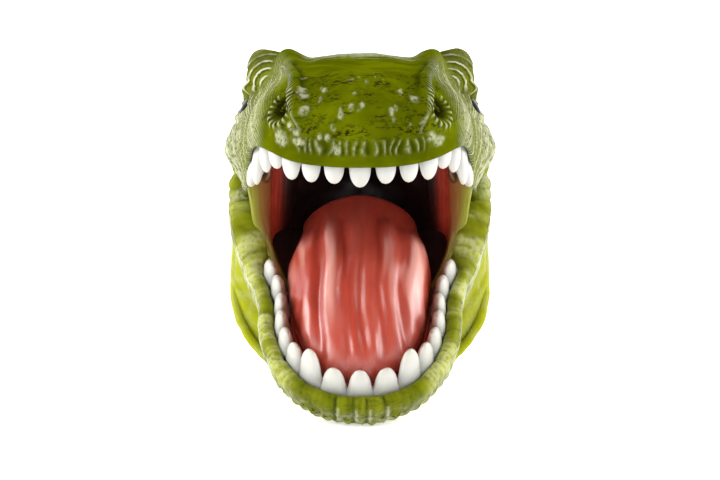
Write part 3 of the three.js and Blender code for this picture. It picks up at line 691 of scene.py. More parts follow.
def lining_finish():
    finish = Finish("mouth_lining", roughness=0.4, specular=0.3, coat=0.08, coat_roughness=0.25)
    red = finish.mix(finish.span(finish.grain(9, 3), 0.35, 0.7), BLOOD, FRESH_BLOOD)
    # Painted shade: darker towards the back of the mouth
    red = finish.mix(finish.mask("deep"), red, MOUTH_SHADE)
    red = finish.mix(finish.mask("brown"), red, BROWN)
    red = finish.mix(finish.mask("green"), red, LEAF)
    finish.set("Base Color", red)
    finish.set("Normal", finish.relief(finish.grain(1.6, 4), 0.15, 0.6))
    return finish.material


def tongue_finish():
    finish = Finish("tongue_red", roughness=0.36, coat=0.3, coat_roughness=0.28)
    long_place = finish.stretched((1.0, 0.16, 0.16))
    streaks = finish.span(finish.grain(4.4, 3, 0.5, 0.4, long_place), 0.38, 0.68)
    red = finish.mix(streaks, BRICK, DARK_BRICK)
    # Painted highlight: the raised streaks turn pinker
    red = finish.mix(finish.times(finish.mask("crest"), 0.35), red, PINK)
    red = finish.mix(finish.mask("shine"), red, SHINE)
    # Painted shade: darker towards the root
    red = finish.mix(finish.mask("deep"), red, BLOOD)
    finish.set("Base Color", red)
    finish.set("Roughness", finish.span(streaks, 0, 1, 0.3, 0.4))
    long_folds = finish.relief(finish.grain(2.6, 3, 0.5, 0.3, long_place), 0.25, 0.6)
    finish.set("Normal", finish.relief(finish.grain(0.7, 2), 0.05, 0.5, long_folds))
    return finish.material


def tooth_finish():
    finish = Finish("tooth_white", roughness=0.3, coat=0.15)
    shade = finish.mix(finish.times(finish.mask("tip"), 0.55), IVORY, BONE)
    shade = finish.mix(finish.span(finish.grain(2.5, 3), 0.45, 0.8, 0, 0.25), shade, BONE)
    shade = finish.mix(finish.mask("stain"), shade, TOOTH_STAIN)
    finish.set("Base Color", shade)
    finish.set("Normal", finish.relief(finish.grain(1.2, 3), 0.05, 0.5))
    return finish.material


def eye_finish():
    finish = Finish("eye_black", roughness=0.12, specular=0.02)
    finish.set("Base Color", finish.mix(finish.span(finish.grain(2, 3), 0.4, 0.7), *EYE_COLOURS))
    return finish.material


dull_skin = skin_finish("dull_skin", 0.0)
skin = skin_finish("rubber_skin", 0.12)
lining = lining_finish()
tongue_red = tongue_finish()
tooth_white = tooth_finish()
eye_black = eye_finish()


# Skull
def lip_height(reach):
    line = lerp(LIP_CORNER_HEIGHT, LIP_TIP_HEIGHT, (reach - LIP_CORNER) / (LIP_TIP - LIP_CORNER))
    return line + LIP_ARCH * bump(reach - LIP_ARCH_REACH, LIP_ARCH_SPREAD)


lip = outline(
    LIP_TIP, LIP_SHOULDER, LIP_CORNER, SNOUT_HALF_WIDTH, LIP_CORNER_HALF_WIDTH, LIP_ROUNDNESS, lip_height
)


def lip_depth(t):
    return (LIP_TIP + lip(t)[..., 1]) / (LIP_TIP - LIP_CORNER)


def skull_ridge(lowered):
    def point(t):
        depth = lip_depth(t)
        y = -lerp(LIP_TIP - NOSE_LENGTH, RIDGE_REAR, depth)
        return on_middle(y, lerp(SNOUT_HEIGHT, CROWN_HEIGHT, smooth(depth)) - lowered)

    return point


def skull_roundness(t):
    return lerp(SNOUT_ROUNDNESS, CROWN_ROUNDNESS, lip_depth(t))


def cheek_flare(t, sweep):
    side = (t - NOSE_SHARE) / (1 - NOSE_SHARE)
    return CHEEK_FLARE * smooth(side) * smooth(sweep / FLARE_SWEEP)


skull_base = vault(lip, skull_ridge(0), skull_roundness, cheek_flare)
skull_inside = vault(inset(lip, LIP_WALL), skull_ridge(SKULL_WALL), skull_roundness, cheek_flare)


def place_on_skull(place):
    return skull_base(np.array(place[0]), np.array(place[1]))


def local_axes(place):
    """The outward, upward and forward directions of the right side of the skull at a place."""
    t, sweep = np.array(place[0]), np.array(place[1])
    outward = surface_normal(skull_base, t, sweep)
    upward = unit(skull_base(t, sweep + SLOPE_STEP) - skull_base(t, sweep - SLOPE_STEP))
    return outward, upward, np.cross(outward, upward)


def along_path(points, path):
    """Way off a path of straight stretches, the share of its length there, its direction and its run."""
    off = np.full(points.shape, np.inf)
    ahead = np.zeros(points.shape)
    share = np.zeros(len(points))
    marks = run(path)
    for a, b, start, length in zip(path[:-1], path[1:], marks, np.diff(marks)):
        part = np.clip((points - a) @ (b - a) / length**2, 0, 1)
        way = points - (a + part[:, None] * (b - a))
        nearer = np.linalg.norm(way, axis=1) < np.linalg.norm(off, axis=1)
        off = np.where(nearer[:, None], way, off)
        ahead = np.where(nearer[:, None], (b - a) / length, ahead)
        share = np.where(nearer, (start + part * length) / marks[-1], share)
    return off, share, ahead, marks


brow_place = place_on_skull(BROW_PLACE)
horn_place = place_on_skull(HORN_PLACE)
cheek_place = place_on_skull(CHEEK_PLACE)
eye_place = place_on_skull(EYE_PLACE)
nostril_place = place_on_skull(NOSTRIL_PLACE)
ridge_path = np.array([place_on_skull(place) for place in RIDGE_PATH])
ridge_normals = np.array([local_axes(place)[0] for place in RIDGE_PATH])

BROW_RISE = 12.6
BROW_SPREAD = 9.5
RIDGE_RISE = 4.2
RIDGE_WIDTH = (3.0, 4.6)
RIDGE_FLATNESS = 2.6
HORN_RISE = 2.4
HORN_SPREAD = 7.0
CHEEK_RISE = 2.2
CHEEK_SPREAD = 12.0


def right_side(points):
    return np.concatenate([np.abs(points[..., :1]), points[..., 1:]], axis=-1)


def distance_to(points, place):
    return np.linalg.norm(right_side(points) - place, axis=-1)


def skull_forms(points):
    """Height of the brows, nasal ridges, horns and cheeks over the plain skull."""
    shape = points.shape[:-1]
    flat = right_side(points).reshape(-1, 3)
    off, share, _, _ = along_path(flat, ridge_path)
    off_ridge = np.linalg.norm(off, axis=1)
    across = np.exp(-((off_ridge / lerp(*RIDGE_WIDTH, share)) ** RIDGE_FLATNESS))
    ridge = (RIDGE_RISE * lerp(0.8, 1, share) * across).reshape(shape)
    brow = BROW_RISE * bump(distance_to(points, brow_place), BROW_SPREAD)
    horn = HORN_RISE * bump(distance_to(points, horn_place), HORN_SPREAD)
    cheek = CHEEK_RISE * bump(distance_to(points, cheek_place), CHEEK_SPREAD)
    return brow + ridge + horn + cheek


def skull_outside(t, sweep):
    t, sweep = same_shape(t, sweep)
    points = skull_base(t, sweep)
    return points + surface_normal(skull_base, t, sweep) * skull_forms(points)[..., None]


# Lower jaw
def jaw_height(reach):
    climb = until(reach, JAW_RAMP_REACH, JAW_RAMP_REACH - JAW_CORNER)
    return lerp(JAW_RIM_HEIGHT, JAW_CORNER_HEIGHT, climb)


jaw_rim = outline(
    JAW_TIP, JAW_SHOULDER, JAW_CORNER, JAW_HALF_WIDTH, JAW_CORNER_HALF_WIDTH, JAW_ROUNDNESS, jaw_height
)


def jaw_depth(t):
    return (JAW_TIP + jaw_rim(t)[..., 1]) / (JAW_TIP - JAW_CORNER)


def keel(raised):
    def point(t):
        depth = jaw_depth(t)
        y = -lerp(JAW_TIP - CHIN_LENGTH, KEEL_END, depth)
        return on_middle(y, JAW_RIM_HEIGHT - lerp(CHIN_DEPTH, THROAT_DEPTH, smooth(depth)) + raised)

    return point


def roll_inset(t):
    behind_teeth = (ROLL_FILL_REACH + jaw_rim(t)[..., 1]) / ROLL_FILL_LENGTH
    return lerp(ROLL_WIDTH, FLOOR_INSET - 0.4, smooth(behind_teeth))


jaw_outside = vault(jaw_rim, keel(0), fixed(JAW_SECTION_ROUNDNESS))
jaw_inside = vault(inset(jaw_rim, roll_inset), keel(JAW_WALL), fixed(JAW_SECTION_ROUNDNESS))


def jaw_normal(t, sweep):
    outward = surface_normal(jaw_outside, t, sweep)
    leaves_jaw = np.sign(t) * outward[..., 0] - outward[..., 2]
    return outward * np.where(leaves_jaw < 0, -1, 1)[..., None]


neck_front = from_jaw(jaw_outside(1.0, np.linspace(0, 1, 33)))[:, 1].max() + THROAT_GAP


# Neck: rings from the back of the skull, and round under the jaw, to the open cuff
def ring_front(turn):
    """The first ring: its points, the way up or down there, and the side. A turn over 1 is under the jaw."""
    half = np.where(turn <= 1, turn, turn - 1)
    sweep = up_and_down(half)
    right = np.where((turn <= 1) == (half <= 0.5), 1.0, -1.0)
    upper = from_head(skull_outside(right, sweep))
    corner = from_head(lip(right))
    out, down = superellipse(sweep, NECK_ROUNDNESS)
    y = lerp(corner[..., 1], neck_front, smooth(np.minimum(down * NECK_FRONT_TURN, 1)))
    z = lerp(corner[..., 2], -HINGE_HEIGHT - SOLE_CUT, down)
    half_width = corner[..., 0] + right * CHEEK_FLARE * smooth(down * NECK_FLARE_TURN)
    lower = xyz(half_width * out, y, z)
    return np.where((turn <= 1)[..., None], upper, lower), sweep, right


def neck_outside(turn, along):
    turn, along = same_shape(turn, along)
    front, sweep, right = ring_front(turn)
    out, away = superellipse(sweep, NECK_ROUNDNESS)
    height = lerp(CUFF_MIDDLE, np.where(turn <= 1, CUFF_TOP, -HINGE_HEIGHT - SOLE_CUT), away)
    cuff = xyz(right * CUFF_HALF_WIDTH * out, np.full_like(out, CUFF_REACH), height)
    a, b = along[..., None], 1 - along[..., None]
    points = front * b * b * (1 + 2 * a) + cuff * a * a * (1 + 2 * b)
    points[..., 1] += NECK_SWEEP * along * (1 - along) ** 2 - CUFF_SWEEP * along**2 * (1 - along)
    lobe = LOBE_RISE * bump(points[..., 2] - LOBE_HEIGHT, LOBE_SPREAD)
    waist = PINCH * bump(points[..., 2] - PINCH_HEIGHT, PINCH_SPREAD)
    sideways = smooth(np.abs(points[..., 0]) / CUFF_HALF_WIDTH) * np.sign(points[..., 0])
    below = np.where(turn <= 1, 0, smooth(sweep * 3))
    started = lerp(smooth(along / 0.15), 1, below)
    points[..., 0] += (lobe - waist) * (1 - along**2) * sideways * started
    points[..., 2] = np.maximum(points[..., 2], -HINGE_HEIGHT)
    return points


def neck_axis(points):
    """The places on the neck's axis that are level with the points."""
    return points * np.array([0, 1, 0]) + np.array([0, 0, CUFF_MIDDLE])


def neck_inside(points):
    return points - unit(points - neck_axis(points)) * NECK_WALL


# Skin of the head and the neck, in one piece from the upper lip to the cuff
SKULL_COLUMNS = graded(185, [(0.22, 0.16, 1.3), (0.92, 0.08, 0.6)])
SKULL_ROWS = graded(110, [(0.38, 0.16, 0.9), (0.02, 0.05, 0.5)])
NECK_LOWER_COLUMNS = 150
NECK_ROWS = graded(56, [(0.0, 0.2, 0.6)])
NECK_SEAM = 0.2
FAR = 999.0
NOSTRIL_SIZE = (3.8, 4.5)
NOSTRIL_TILT = 24.0
NOSTRIL_DEPTH = 5.4
NOSTRIL_AIM = (-0.5, 0.85, 0.1)
NOSTRIL_RIM = 1.42
EYE_OPENING = (6.4, 4.0)
BROW_AREA_SHIFT = np.array([0, 0, -2.5])
BROW_AREA_SPREAD = 14.0
RING_CENTRE = (35.0, 36.7)
RING_PITCH = 2.9
SHELL_STEP = 0.75
ROPE_PITCH = 1.5
ROPE_SLANT = 0.3
ROPE_OFFSET = 1.8
ROPE_HALF_WIDTH = 1.1
ROPE_TURNS = 16
GROOVE_OFFSET = -2.6
LIP_NOTCH_PITCH = 3.1
MUZZLE_EDGE = 0.37
WRINKLE_SLANT = 0.42
WRINKLES = 44
LINES_PER_WRINKLE = 1.4
CROWN_PITCH = 6.5
CROWN_LINE_PITCH = 3.0
CROWN_SWEEP = 0.66
PEBBLE_SIZE = 4.2
NET_SIZE = 8.0
NET_STRETCH = np.array([1, 1, 0.8])
# Large chips: way along the lip, height above it, half width and half height
CHIPS = (
    (-24.2, 26.4, 1.4, 1.8), (-22.6, 23.9, 1.5, 1.2), (-20.5, 17.4, 1.2, 2.2), (-15.3, 26.0, 1.2, 1.0),
    (-3.3, 19.6, 0.9, 1.4), (0.8, 20.4, 0.7, 1.2), (-6.9, 16.6, 0.9, 1.3), (-14.2, 8.6, 0.9, 1.2),
    (-11.4, 8.6, 1.0, 1.3), (-31.0, 5.8, 3.2, 2.6), (-22.8, 6.0, 2.6, 1.4), (-26.4, 10.7, 1.6, 1.4),
    (-23.6, 8.9, 1.4, 1.2), (-8.0, 4.6, 1.0, 1.6), (27.0, 7.0, 2.2, 1.6), (31.2, 5.0, 2.8, 1.8),
    (17.1, 25.1, 1.0, 1.0), (11.6, 17.7, 1.0, 1.6), (21.5, 22.5, 1.3, 1.6),
)
SMALL_CHIPS = 26
SMALL_CHIP_SEED = 5
SMALL_CHIP_REACH = 30
SMALL_CHIP_HEIGHTS = (13.0, 19.5, 26.0, 32.5)
SPRAY_ROWS = (10.5, 17.0, 23.5, 30.0, 36.0)


def inner_masks(points):
    return {f"inner_{axis}": points[..., k] for k, axis in enumerate("xyz")}


def skull_sheet():
    columns = both_sides(SKULL_COLUMNS)
    t, sweep = np.meshgrid(columns, SKULL_ROWS)
    points = skull_outside(t, sweep)
    back = inner_masks(from_head(skull_inside(t, sweep)))
    along_lip = from_middle(lip(columns))
    return grid(from_head(points), t=t, sweep=sweep, above_lip=run(points), along_lip=along_lip, **back)


def neck_sheet():
    over = np.concatenate([SKULL_ROWS / 2, 1 - SKULL_ROWS[-2::-1] / 2])
    under = 1 + np.linspace(0, 1, NECK_LOWER_COLUMNS + 1)[1:-1]
    turn, along = np.meshgrid(np.concatenate([over, under]), NECK_ROWS)
    points = neck_outside(turn, along)
    front, sweep, right = ring_front(turn)
    behind_skull = from_head(skull_inside(right, sweep)) + points - front
    seam = np.where(turn <= 1, 1 - smooth(along / NECK_SEAM), 0)[..., None]
    back = inner_masks(lerp(neck_inside(points), behind_skull, seam))
    return grid(points, wrap=True, t=1 + along, sweep=turn, above_lip=FAR, along_lip=FAR, **back).flipped()


class HeadPlaces:
    """Where the points of the skin lie: about the hinge, in the head's frame, and on the skull's lines."""

    def __init__(self, sheet):
        self.points = sheet.points
        self.head = turn_x(sheet.points, HEAD_PITCH)
        self.right = right_side(self.head)
        self.t = np.abs(sheet.masks["t"])
        self.sweep = sheet.masks["sweep"]
        self.above_lip = sheet.masks["above_lip"]
        self.along_lip = sheet.masks["along_lip"]
        self.on_skull = until(self.t, 1.12, 0.12)


def nostril_marks(at):
    """A pit with a raised rim and a rope round it; the angle starts at the lowest point."""
    _, upward, forward = local_axes(NOSTRIL_PLACE)
    off = at.right - nostril_place
    tilt = math.radians(NOSTRIL_TILT)
    length = off @ (upward * math.cos(tilt) + forward * math.sin(tilt))
    width = off @ (forward * math.cos(tilt) - upward * math.sin(tilt))
    angle = np.arctan2(-width, -length)
    radius = np.where(at.t < 0.9, np.hypot(width / NOSTRIL_SIZE[0], length / NOSTRIL_SIZE[1]), FAR)
    return Marks(
        pit=until(radius, 1.15, 0.65),
        rim=bump(radius - NOSTRIL_RIM, 0.3),
        # dark: painted shade inside the pit
        dark=until(radius, 1.1, 0.5),
        rope=bump(radius - NOSTRIL_RIM, 0.24) * until(np.abs(angle), 2.5, 0.6),
        rope_way=angle * ROPE_TURNS / (2 * np.pi),
    )


def eye_marks(at):
    """A socket between two lids, with a fold round them."""
    _, upward, forward = local_axes(EYE_PLACE)
    off = at.right - eye_place
    height = off @ upward
    radius = np.where(at.t < 1.3, np.hypot(off @ forward / EYE_OPENING[0], height / EYE_OPENING[1]), FAR)
    return Marks(
        socket=until(radius, 1.15, 0.5),
        lid=bump(radius - 1.45, 0.3) * np.where(height > 0, 1.25, 0.9),
        fold=bump(radius - 2.05, 0.14),
    )


def ridge_marks(at):
    """A rope on the outer side of the nasal ridge, and a groove on its inner side."""
    off, share, ahead, marks = along_path(at.right, ridge_path)
    way = share * marks[-1]
    upward = np.stack([np.interp(way, marks, ridge_normals[:, k]) for k in range(3)], axis=1)
    outside = np.sum(off * np.cross(ahead, upward), axis=1)
    off_ridge = np.where(at.t < 1, np.linalg.norm(off, axis=1), FAR)
    near = until(off_ridge, 7.5, 2)
    return Marks(
        rope=bump(outside - ROPE_OFFSET, ROPE_HALF_WIDTH) * near * window(share, 0.0, 0.62, 0.2),
        rope_way=way / ROPE_PITCH + outside * ROPE_SLANT,
        groove=bump(outside - GROOVE_OFFSET, 0.8) * near * window(share, 0.1, 0.66, 0.16),
        spray=bump(off_ridge, 4.6) * past(share, 0.3, 0.3),
    )


def brow_marks(at):
    """Shells that lie over each other round a point inside the brow."""
    from_centre = np.hypot(at.right[:, 0] - RING_CENTRE[0], at.right[:, 2] - RING_CENTRE[1])
    way = from_centre / RING_PITCH + 0.08 * lumps(at.points, 8, 5)
    shell = way % 1
    near = bump(distance_to(at.head, brow_place + BROW_AREA_SHIFT), BROW_AREA_SPREAD)
    area = smooth(near * 2.4 - 0.5) * at.on_skull
    return Marks(
        area=area,
        way=way,
        shells=(until(shell, 1, 0.9) * past(shell, 0, 0.12) - 0.5) * area,
        # painted shadow where each shell runs under the next
        gaps=past(shell, 0.7, 0.3) * area,
        top=past(at.right[:, 2], 42, 7) * area,
        lines=past(area, 0.4, 0.3),
    )


def chips(along, height):
    """Low pale chips on the front of the snout: the large ones each in its place, small ones scattered."""
    chance = np.random.default_rng(SMALL_CHIP_SEED)
    places = [(*chip, 1.0) for chip in CHIPS]
    for _ in range(SMALL_CHIPS):
        x = chance.uniform(-SMALL_CHIP_REACH, SMALL_CHIP_REACH)
        z = chance.choice(SMALL_CHIP_HEIGHTS) + chance.normal(0, 1.5)
        wide = chance.uniform(0.4, 0.8)
        places.append((x, z, wide, wide * chance.uniform(1.0, 2.0), chance.uniform(0.3, 0.7)))
    total = np.zeros_like(along)
    ragged = 0.35 * lumps(xyz(along, height, 0 * along), 1.6, 21)
    for x, z, wide, tall, strength in places:
        away = np.hypot((along - x) / wide, (height - z) / tall) + ragged
        total = np.maximum(total, strength * until(away, 1.4, 0.9))
    return total


def snout_marks(at):
    """Chips and rows of dark spray on the front, and a row of notches over the lip."""
    front = window(at.t, -1, 0.44, 0.12) * window(at.sweep, 0.04, 0.78, 0.06)
    notch = at.along_lip / LIP_NOTCH_PITCH + 0.8 * lumps(at.points, 6, 3)
    notch_area = window(at.above_lip, 3.0, 7.6, 2.0) * until(np.abs(at.along_lip), 28, 8)
    rows = np.clip(sum(bump(at.above_lip - height, 2.2) for height in SPRAY_ROWS), 0, 1)
    return Marks(
        chips=chips(at.along_lip, at.above_lip) * front,
        # notches are also darkened as painted shade, and notch_crests get painted highlights
        notches=groove(notch) * notch_area,
        notch_crests=groove(notch + 0.4) ** 3 * notch_area,
        spray=until(at.t, 0.5, 0.2) * window(at.sweep, 0.1, 0.85, 0.15) * (0.3 + 0.7 * rows),
        lip_shade=until(at.above_lip, 8, 6) * until(at.t, 0.6, 0.2),
    )


def crown_marks(at):
    """Folds across the top of the head."""
    across, along = np.abs(at.head[:, 0]), at.head[:, 1]
    way = along + 0.012 * across**2 + 3.2 * lumps(at.points, 11, 4)
    area = until(across, 27, 8) * window(along, -50, 20, 14) * past(at.sweep, 0.6, 0.2) * at.on_skull
    return Marks(
        way=way,
        folds=groove(way / CROWN_PITCH) ** 2 * area,
        # crests: painted highlights on the folds' tops
        crests=groove(way / CROWN_PITCH + 0.3) ** 4 * area * past(along, -42, 12),
        lines=area * past(along, -34, 10) * past(at.sweep, CROWN_SWEEP, 0.05),
    )


def side_marks(at, socket, brow_area):
    """Curved wrinkles on the sides of the muzzle, and pebbles on the cheeks."""
    free = at.on_skull * (1 - socket)
    area = past(at.t, 0.335, 0.12) * until(at.sweep, 0.66, 0.12) * free
    line = at.t - WRINKLE_SLANT * at.sweep
    way = line * WRINKLES + 0.9 * lumps(at.points, 18, 7)
    walls, chance = cells(at.points, PEBBLE_SIZE, 9)
    pebbles = smooth(walls / 0.45)
    return Marks(
        area=area,
        way=way,
        # edge: painted highlight along the muzzle's edge
        edge=bump(line - MUZZLE_EDGE, 0.09) * area,
        wrinkles=groove(way) ** 2 * area * (1 - 0.8 * brow_area),
        lines=area * until(brow_area, 0.4, 0.3),
        # cheek: painted sheen over the cheek, with painted highlights on the pebbles and painted shade
        # between them
        cheek=past(at.t, 0.74, 0.2) * until(at.sweep, 0.45, 0.12) * free,
        pebbles=pebbles,
        pebble_height=pebbles * lerp(0.4, 1, chance) - 0.5,
    )


def net_of_scales(points):
    """0 on the walls of a net of wide scales, 1 inside them, and each scale's chance number."""
    walls, chance = cells(points * NET_STRETCH, NET_SIZE, 2)
    return smooth(walls / 0.28), chance


def neck_marks(at):
    """A net of wide scales and soft folds; paler below and in front."""
    net, chance = net_of_scales(at.points)
    under_jaw = np.where(at.t >= 1, past(at.sweep, 1.02, 0.08) * until(at.sweep, 1.98, 0.08), 0)
    area = np.maximum(past(at.t, 0.98, 0.4), under_jaw)
    below = until(at.points[:, 2] - 6 * lumps(at.points, 16, 5), 20, 36)
    pale = area * lerp(0.15, 1, below) * lerp(1, 0.45, past(at.points[:, 1], 8, 30))
    scale_height = net * lerp(0.7, 1.1, chance) - 0.5
    return Marks(
        pale=pale,
        walls=(1 - net) * pale,
        height=(0.4 * scale_height + 0.9 * lumps(at.points, 22, 1)) * area,
    )


def head_skin():
    sheet = joined(skull_sheet(), neck_sheet())
    at = HeadPlaces(sheet)
    nostril = nostril_marks(at)
    eye = eye_marks(at)
    ridge = ridge_marks(at)
    brow = brow_marks(at)
    snout = snout_marks(at)
    crown = crown_marks(at)
    side = side_marks(at, eye.socket, brow.area)
    neck = neck_marks(at)

    detail = (
        0.3 * lumps(at.points, 9, 2) * (1 - nostril.pit)
        + 0.12 * rough(at.points, 4, 3, 6)
        + 1.0 * nostril.rim
        - 2.4 * eye.socket
        + 1.3 * eye.lid
        - 0.5 * eye.fold
        - 1.0 * ridge.groove
        + 0.35 * ridge.rope
        + SHELL_STEP * brow.shells
        + 0.55 * snout.chips
        - 0.7 * snout.notches
        - 0.7 * crown.folds
        - (0.55 + 0.25 * side.edge) * side.wrinkles
        + 0.5 * side.pebble_height * side.cheek
        + neck.height
    )
    on_floor = at.points[:, 2] < -HINGE_HEIGHT + 1
    detail = np.where(on_floor, np.minimum(detail, 0) * 0.3, detail)
    mirror = np.where(at.head[:, :1] < 0, -1.0, 1.0) * np.array([1, 0, 0]) + np.array([0, 1, 1])
    sunk = from_head(unit(np.array(NOSTRIL_AIM)) * mirror) * (NOSTRIL_DEPTH * nostril.pit)[:, None]
    inner = np.stack([sheet.masks[f"inner_{axis}"] for axis in "xyz"], axis=1) + sunk
    sheet.points = at.points + sheet.normals() * detail[:, None] + sunk

    # Painted shade between the brow's shells, in the notches, under the lip, in the crown's folds, the
    # wrinkles, between the cheek's pebbles, in the ridge's groove and in the nostril pits; also the brow's
    # top darker and dark spray on the ridge
    darkened = (
        0.3 * brow.gaps
        + 0.9 * brow.top
        + 0.8 * snout.notches
        + 0.3 * snout.lip_shade
        + 0.6 * crown.folds
        + 0.6 * side.wrinkles
        + 0.5 * (1 - side.pebbles) * side.cheek
        + 0.9 * ridge.groove
        + 0.45 * ridge.spray
        + 0.4 * nostril.pit
    )
    # Pale chips and the neck's pale net are paint; the notches' and crown's crests, the muzzle's edge, the
    # muzzle sides and the cheek's pebbles get painted highlights and painted sheen
    whitened = (
        0.54 * snout.chips
        + 0.5 * snout.notch_crests
        + 0.85 * crown.crests
        + 0.35 * crown.lines
        + 0.4 * side.edge
        + 0.14 * side.area * (1 - brow.area)
        + (0.25 + 0.6 * side.pebbles) * side.cheek
        + 0.18 * neck.walls
    )
    sprayed = snout.spray + 0.75 * brow.area + 0.8 * ridge.spray + 0.3 * side.cheek
    on_crown = at.sweep > CROWN_SWEEP
    line_way = np.where(on_crown, crown.way / CROWN_LINE_PITCH, side.way * LINES_PER_WRINKLE)
    sheet.masks = {
        # The muzzle sides get a little painted sheen in the pale colour
        "pale": np.clip(0.95 * neck.pale + 0.12 * side.area, 0, 1),
        "hollow": np.clip(darkened, 0, 1),
        "chalk": np.clip(whitened, 0, 1),
        "spray": np.clip(sprayed, 0, 1),
        "black": 0.92 * nostril.dark,
        "rope": np.maximum(ridge.rope, nostril.rope) * (1 - nostril.pit),
        "rope_way": np.where(nostril.rope > ridge.rope, nostril.rope_way, ridge.rope_way),
        "line": np.maximum.reduce([brow.lines, side.lines, crown.lines]),
        "line_way": np.where(brow.area > 0.4, brow.way, line_way),
    }
    return closed_shell(sheet, inner)


head_piece = make_piece("head_and_neck_skin", head_skin(), dull_skin)
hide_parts("skull_skin", "nape_fold", "neck_sleeve")


# Skin of the jaw with its rolled lip
JAW_COLUMNS = graded(135, [(0.05, 0.2, 0.6)])
JAW_ROWS = graded(56, [(0.0, 0.25, 0.8)])
ROLL_ROWS = 32
ROLL_SEAM = 0.08
CHIN_NOTCHES = (-9.5, -2.6, 2.6, 9.5)
CHIN_BEAD_PITCH = 4.8
LIP_FOLD_PITCH = 6.8
LIP_CREASE_PITCH = 2.4


def jaw_sheet():
    """The outside up to the lip, over the roll and down the inside; roll goes from -1 over 0 and 1 to 2."""
    columns = both_sides(JAW_COLUMNS)
    t, down = np.meshgrid(columns, JAW_ROWS)
    outer, inner = jaw_outside(t, down), jaw_inside(t, down)
    share = np.arange(1, ROLL_ROWS)[:, None] / ROLL_ROWS
    rolled = lerp(outer[0], inner[0], ((1 - np.cos(np.pi * share)) / 2)[..., None])
    rolled[..., 2] += ROLL_HEIGHT * np.sin(np.pi * share)
    points = np.concatenate([outer[::-1], rolled, inner])
    roll = np.concatenate([-down[::-1], np.broadcast_to(share, rolled.shape[:2]), 1 + down])
    along = from_middle(outer[0])
    sheets = [grid(from_jaw(points), t=columns, roll=roll, along=along)]
    loop = np.concatenate([outer[:1], rolled, inner[:1]])
    half = len(loop) // 2 + 1
    for column in (0, -1):
        ends = {"t": columns[column], "along": along[column]}
        wall_points = np.stack([outer[:, column], inner[:, column]])
        wall = grid(from_jaw(wall_points), roll=np.stack([-JAW_ROWS, 1 + JAW_ROWS]), **ends)
        cap_points = np.stack([loop[:half, column], loop[::-1][:half, column]])
        cap = grid(from_jaw(cap_points), roll=0.5, **ends)
        sheets += [wall.flipped(), cap] if column == 0 else [wall, cap.flipped()]
    sheet = joined(*sheets)
    return sheet.flipped() if sheet.volume() < 0 else sheet


def jaw_skin():
    sheet = jaw_sheet()
    points = sheet.points
    t, roll, along = np.abs(sheet.masks["t"]), sheet.masks["roll"], sheet.masks["along"]
    on_roll = window(roll, -0.2, 1.02, 0.2)
    outside = until(roll, 0, 0.1)
    chin = until(t, 0.34, 0.12)
    folds = groove(along / LIP_FOLD_PITCH + 1.2 * lumps(points, 14, 3)) ** 2 * on_roll
    creases = groove(along / LIP_CREASE_PITCH + 1.0 * lumps(points, 7, 4)) ** 2
    bands = smooth(0.5 + 1.6 * lumps(xyz(along, 2.5 * roll, 0 * roll), 6, 12))
    off_seam = roll - ROLL_SEAM - 0.05 * lumps(points, 6, 15)
    beside_chin = past(t, 0.3, 0.2)
    seam = bump(off_seam, 0.022) * beside_chin
    seam_highlight = bump(off_seam + 0.06, 0.03) * beside_chin
    notch = sum(bump(along - x, 0.7) for x in CHIN_NOTCHES) * chin * window(roll, -0.35, 0.6, 0.2)
    notch_highlight = sum(bump(along - x - 1.2, 0.5) for x in CHIN_NOTCHES) * chin * window(roll, -0.3, 0.1, 0.1)
    bead_row = window(roll, -0.5, -0.18, 0.15) * until(t, 0.5, 0.2)
    beads = (0.5 + 0.5 * np.cos(2 * np.pi * along / CHIN_BEAD_PITCH)) * bead_row
    walls, chance = cells(points, 7.0, 5)
    net = smooth(walls / 0.3)
    detail = (
        -0.5 * folds * (1 - 0.75 * chin)
        - 0.2 * creases * on_roll
        - 0.35 * seam
        - 0.7 * notch
        + 0.8 * beads
        + 0.6 * (net * lerp(0.6, 1, chance) - 0.5) * outside * until(roll, -0.15, 0.2)
        + 0.3 * lumps(points, 8, 6)
    ) * until(roll, 1.12, 0.1)
    on_floor = points[:, 2] < -HINGE_HEIGHT + 1.2
    detail = np.where(on_floor, np.minimum(detail, 0), detail)
    sheet.points = points + sheet.normals() * detail[:, None]
    worn_bands = bands * (1 - creases) * window(roll, -0.1, 0.9, 0.3) * (1 - chin)
    pale = 0.8 * until(roll, -0.12, 0.15) + (0.3 + 0.5 * bands) * window(roll, -0.1, 1.05, 0.3)
    # Painted shade in the folds, the creases, the chin's notches and the seam's groove
    darkened = 0.45 * folds + 0.25 * creases * on_roll + 0.7 * notch + 0.75 * seam
    # Painted highlights beside the seam and beside the chin's notches; the pale net and the roll's bands are
    # paint
    whitened = 0.25 * (1 - net) * outside + 0.6 * seam_highlight + 0.5 * notch_highlight + 0.55 * worn_bands
    sprayed = 0.95 * window(roll, -0.75, -0.12, 0.2) * until(t, 0.62, 0.2) + 0.3 * on_roll * chin
    sheet.masks = {
        "pale": np.clip(pale, 0, 1) * (1 - 0.7 * chin),
        "hollow": np.clip(darkened, 0, 1),
        "chalk": np.clip(whitened, 0, 1),
        "spray": np.clip(sprayed, 0, 1),
    }
    return sheet


jaw_piece = make_piece("jaw_skin_rolled", jaw_skin(), skin)
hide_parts("jaw_skin")


# Ends of the rolled lip: they climb behind the cheeks
ROLL_END_PATH = ((-13.0, -8.6), (-6.0, -7.4), (-1.5, -3.5), (2.2, 2.6))
ROLL_END_MIDDLE = (46.4, 47.6)
ROLL_END_HALF_WIDTH = (5.8, 4.8)
ROLL_END_HALF_HEIGHT = (3.3, 3.0)
ROLL_END_TIP = 0.28
ROLL_END_START = 0.08
ROLL_END_FOLDS = 4.2
ROLL_END_ROWS = 40
ROLL_END_SIDES = 28


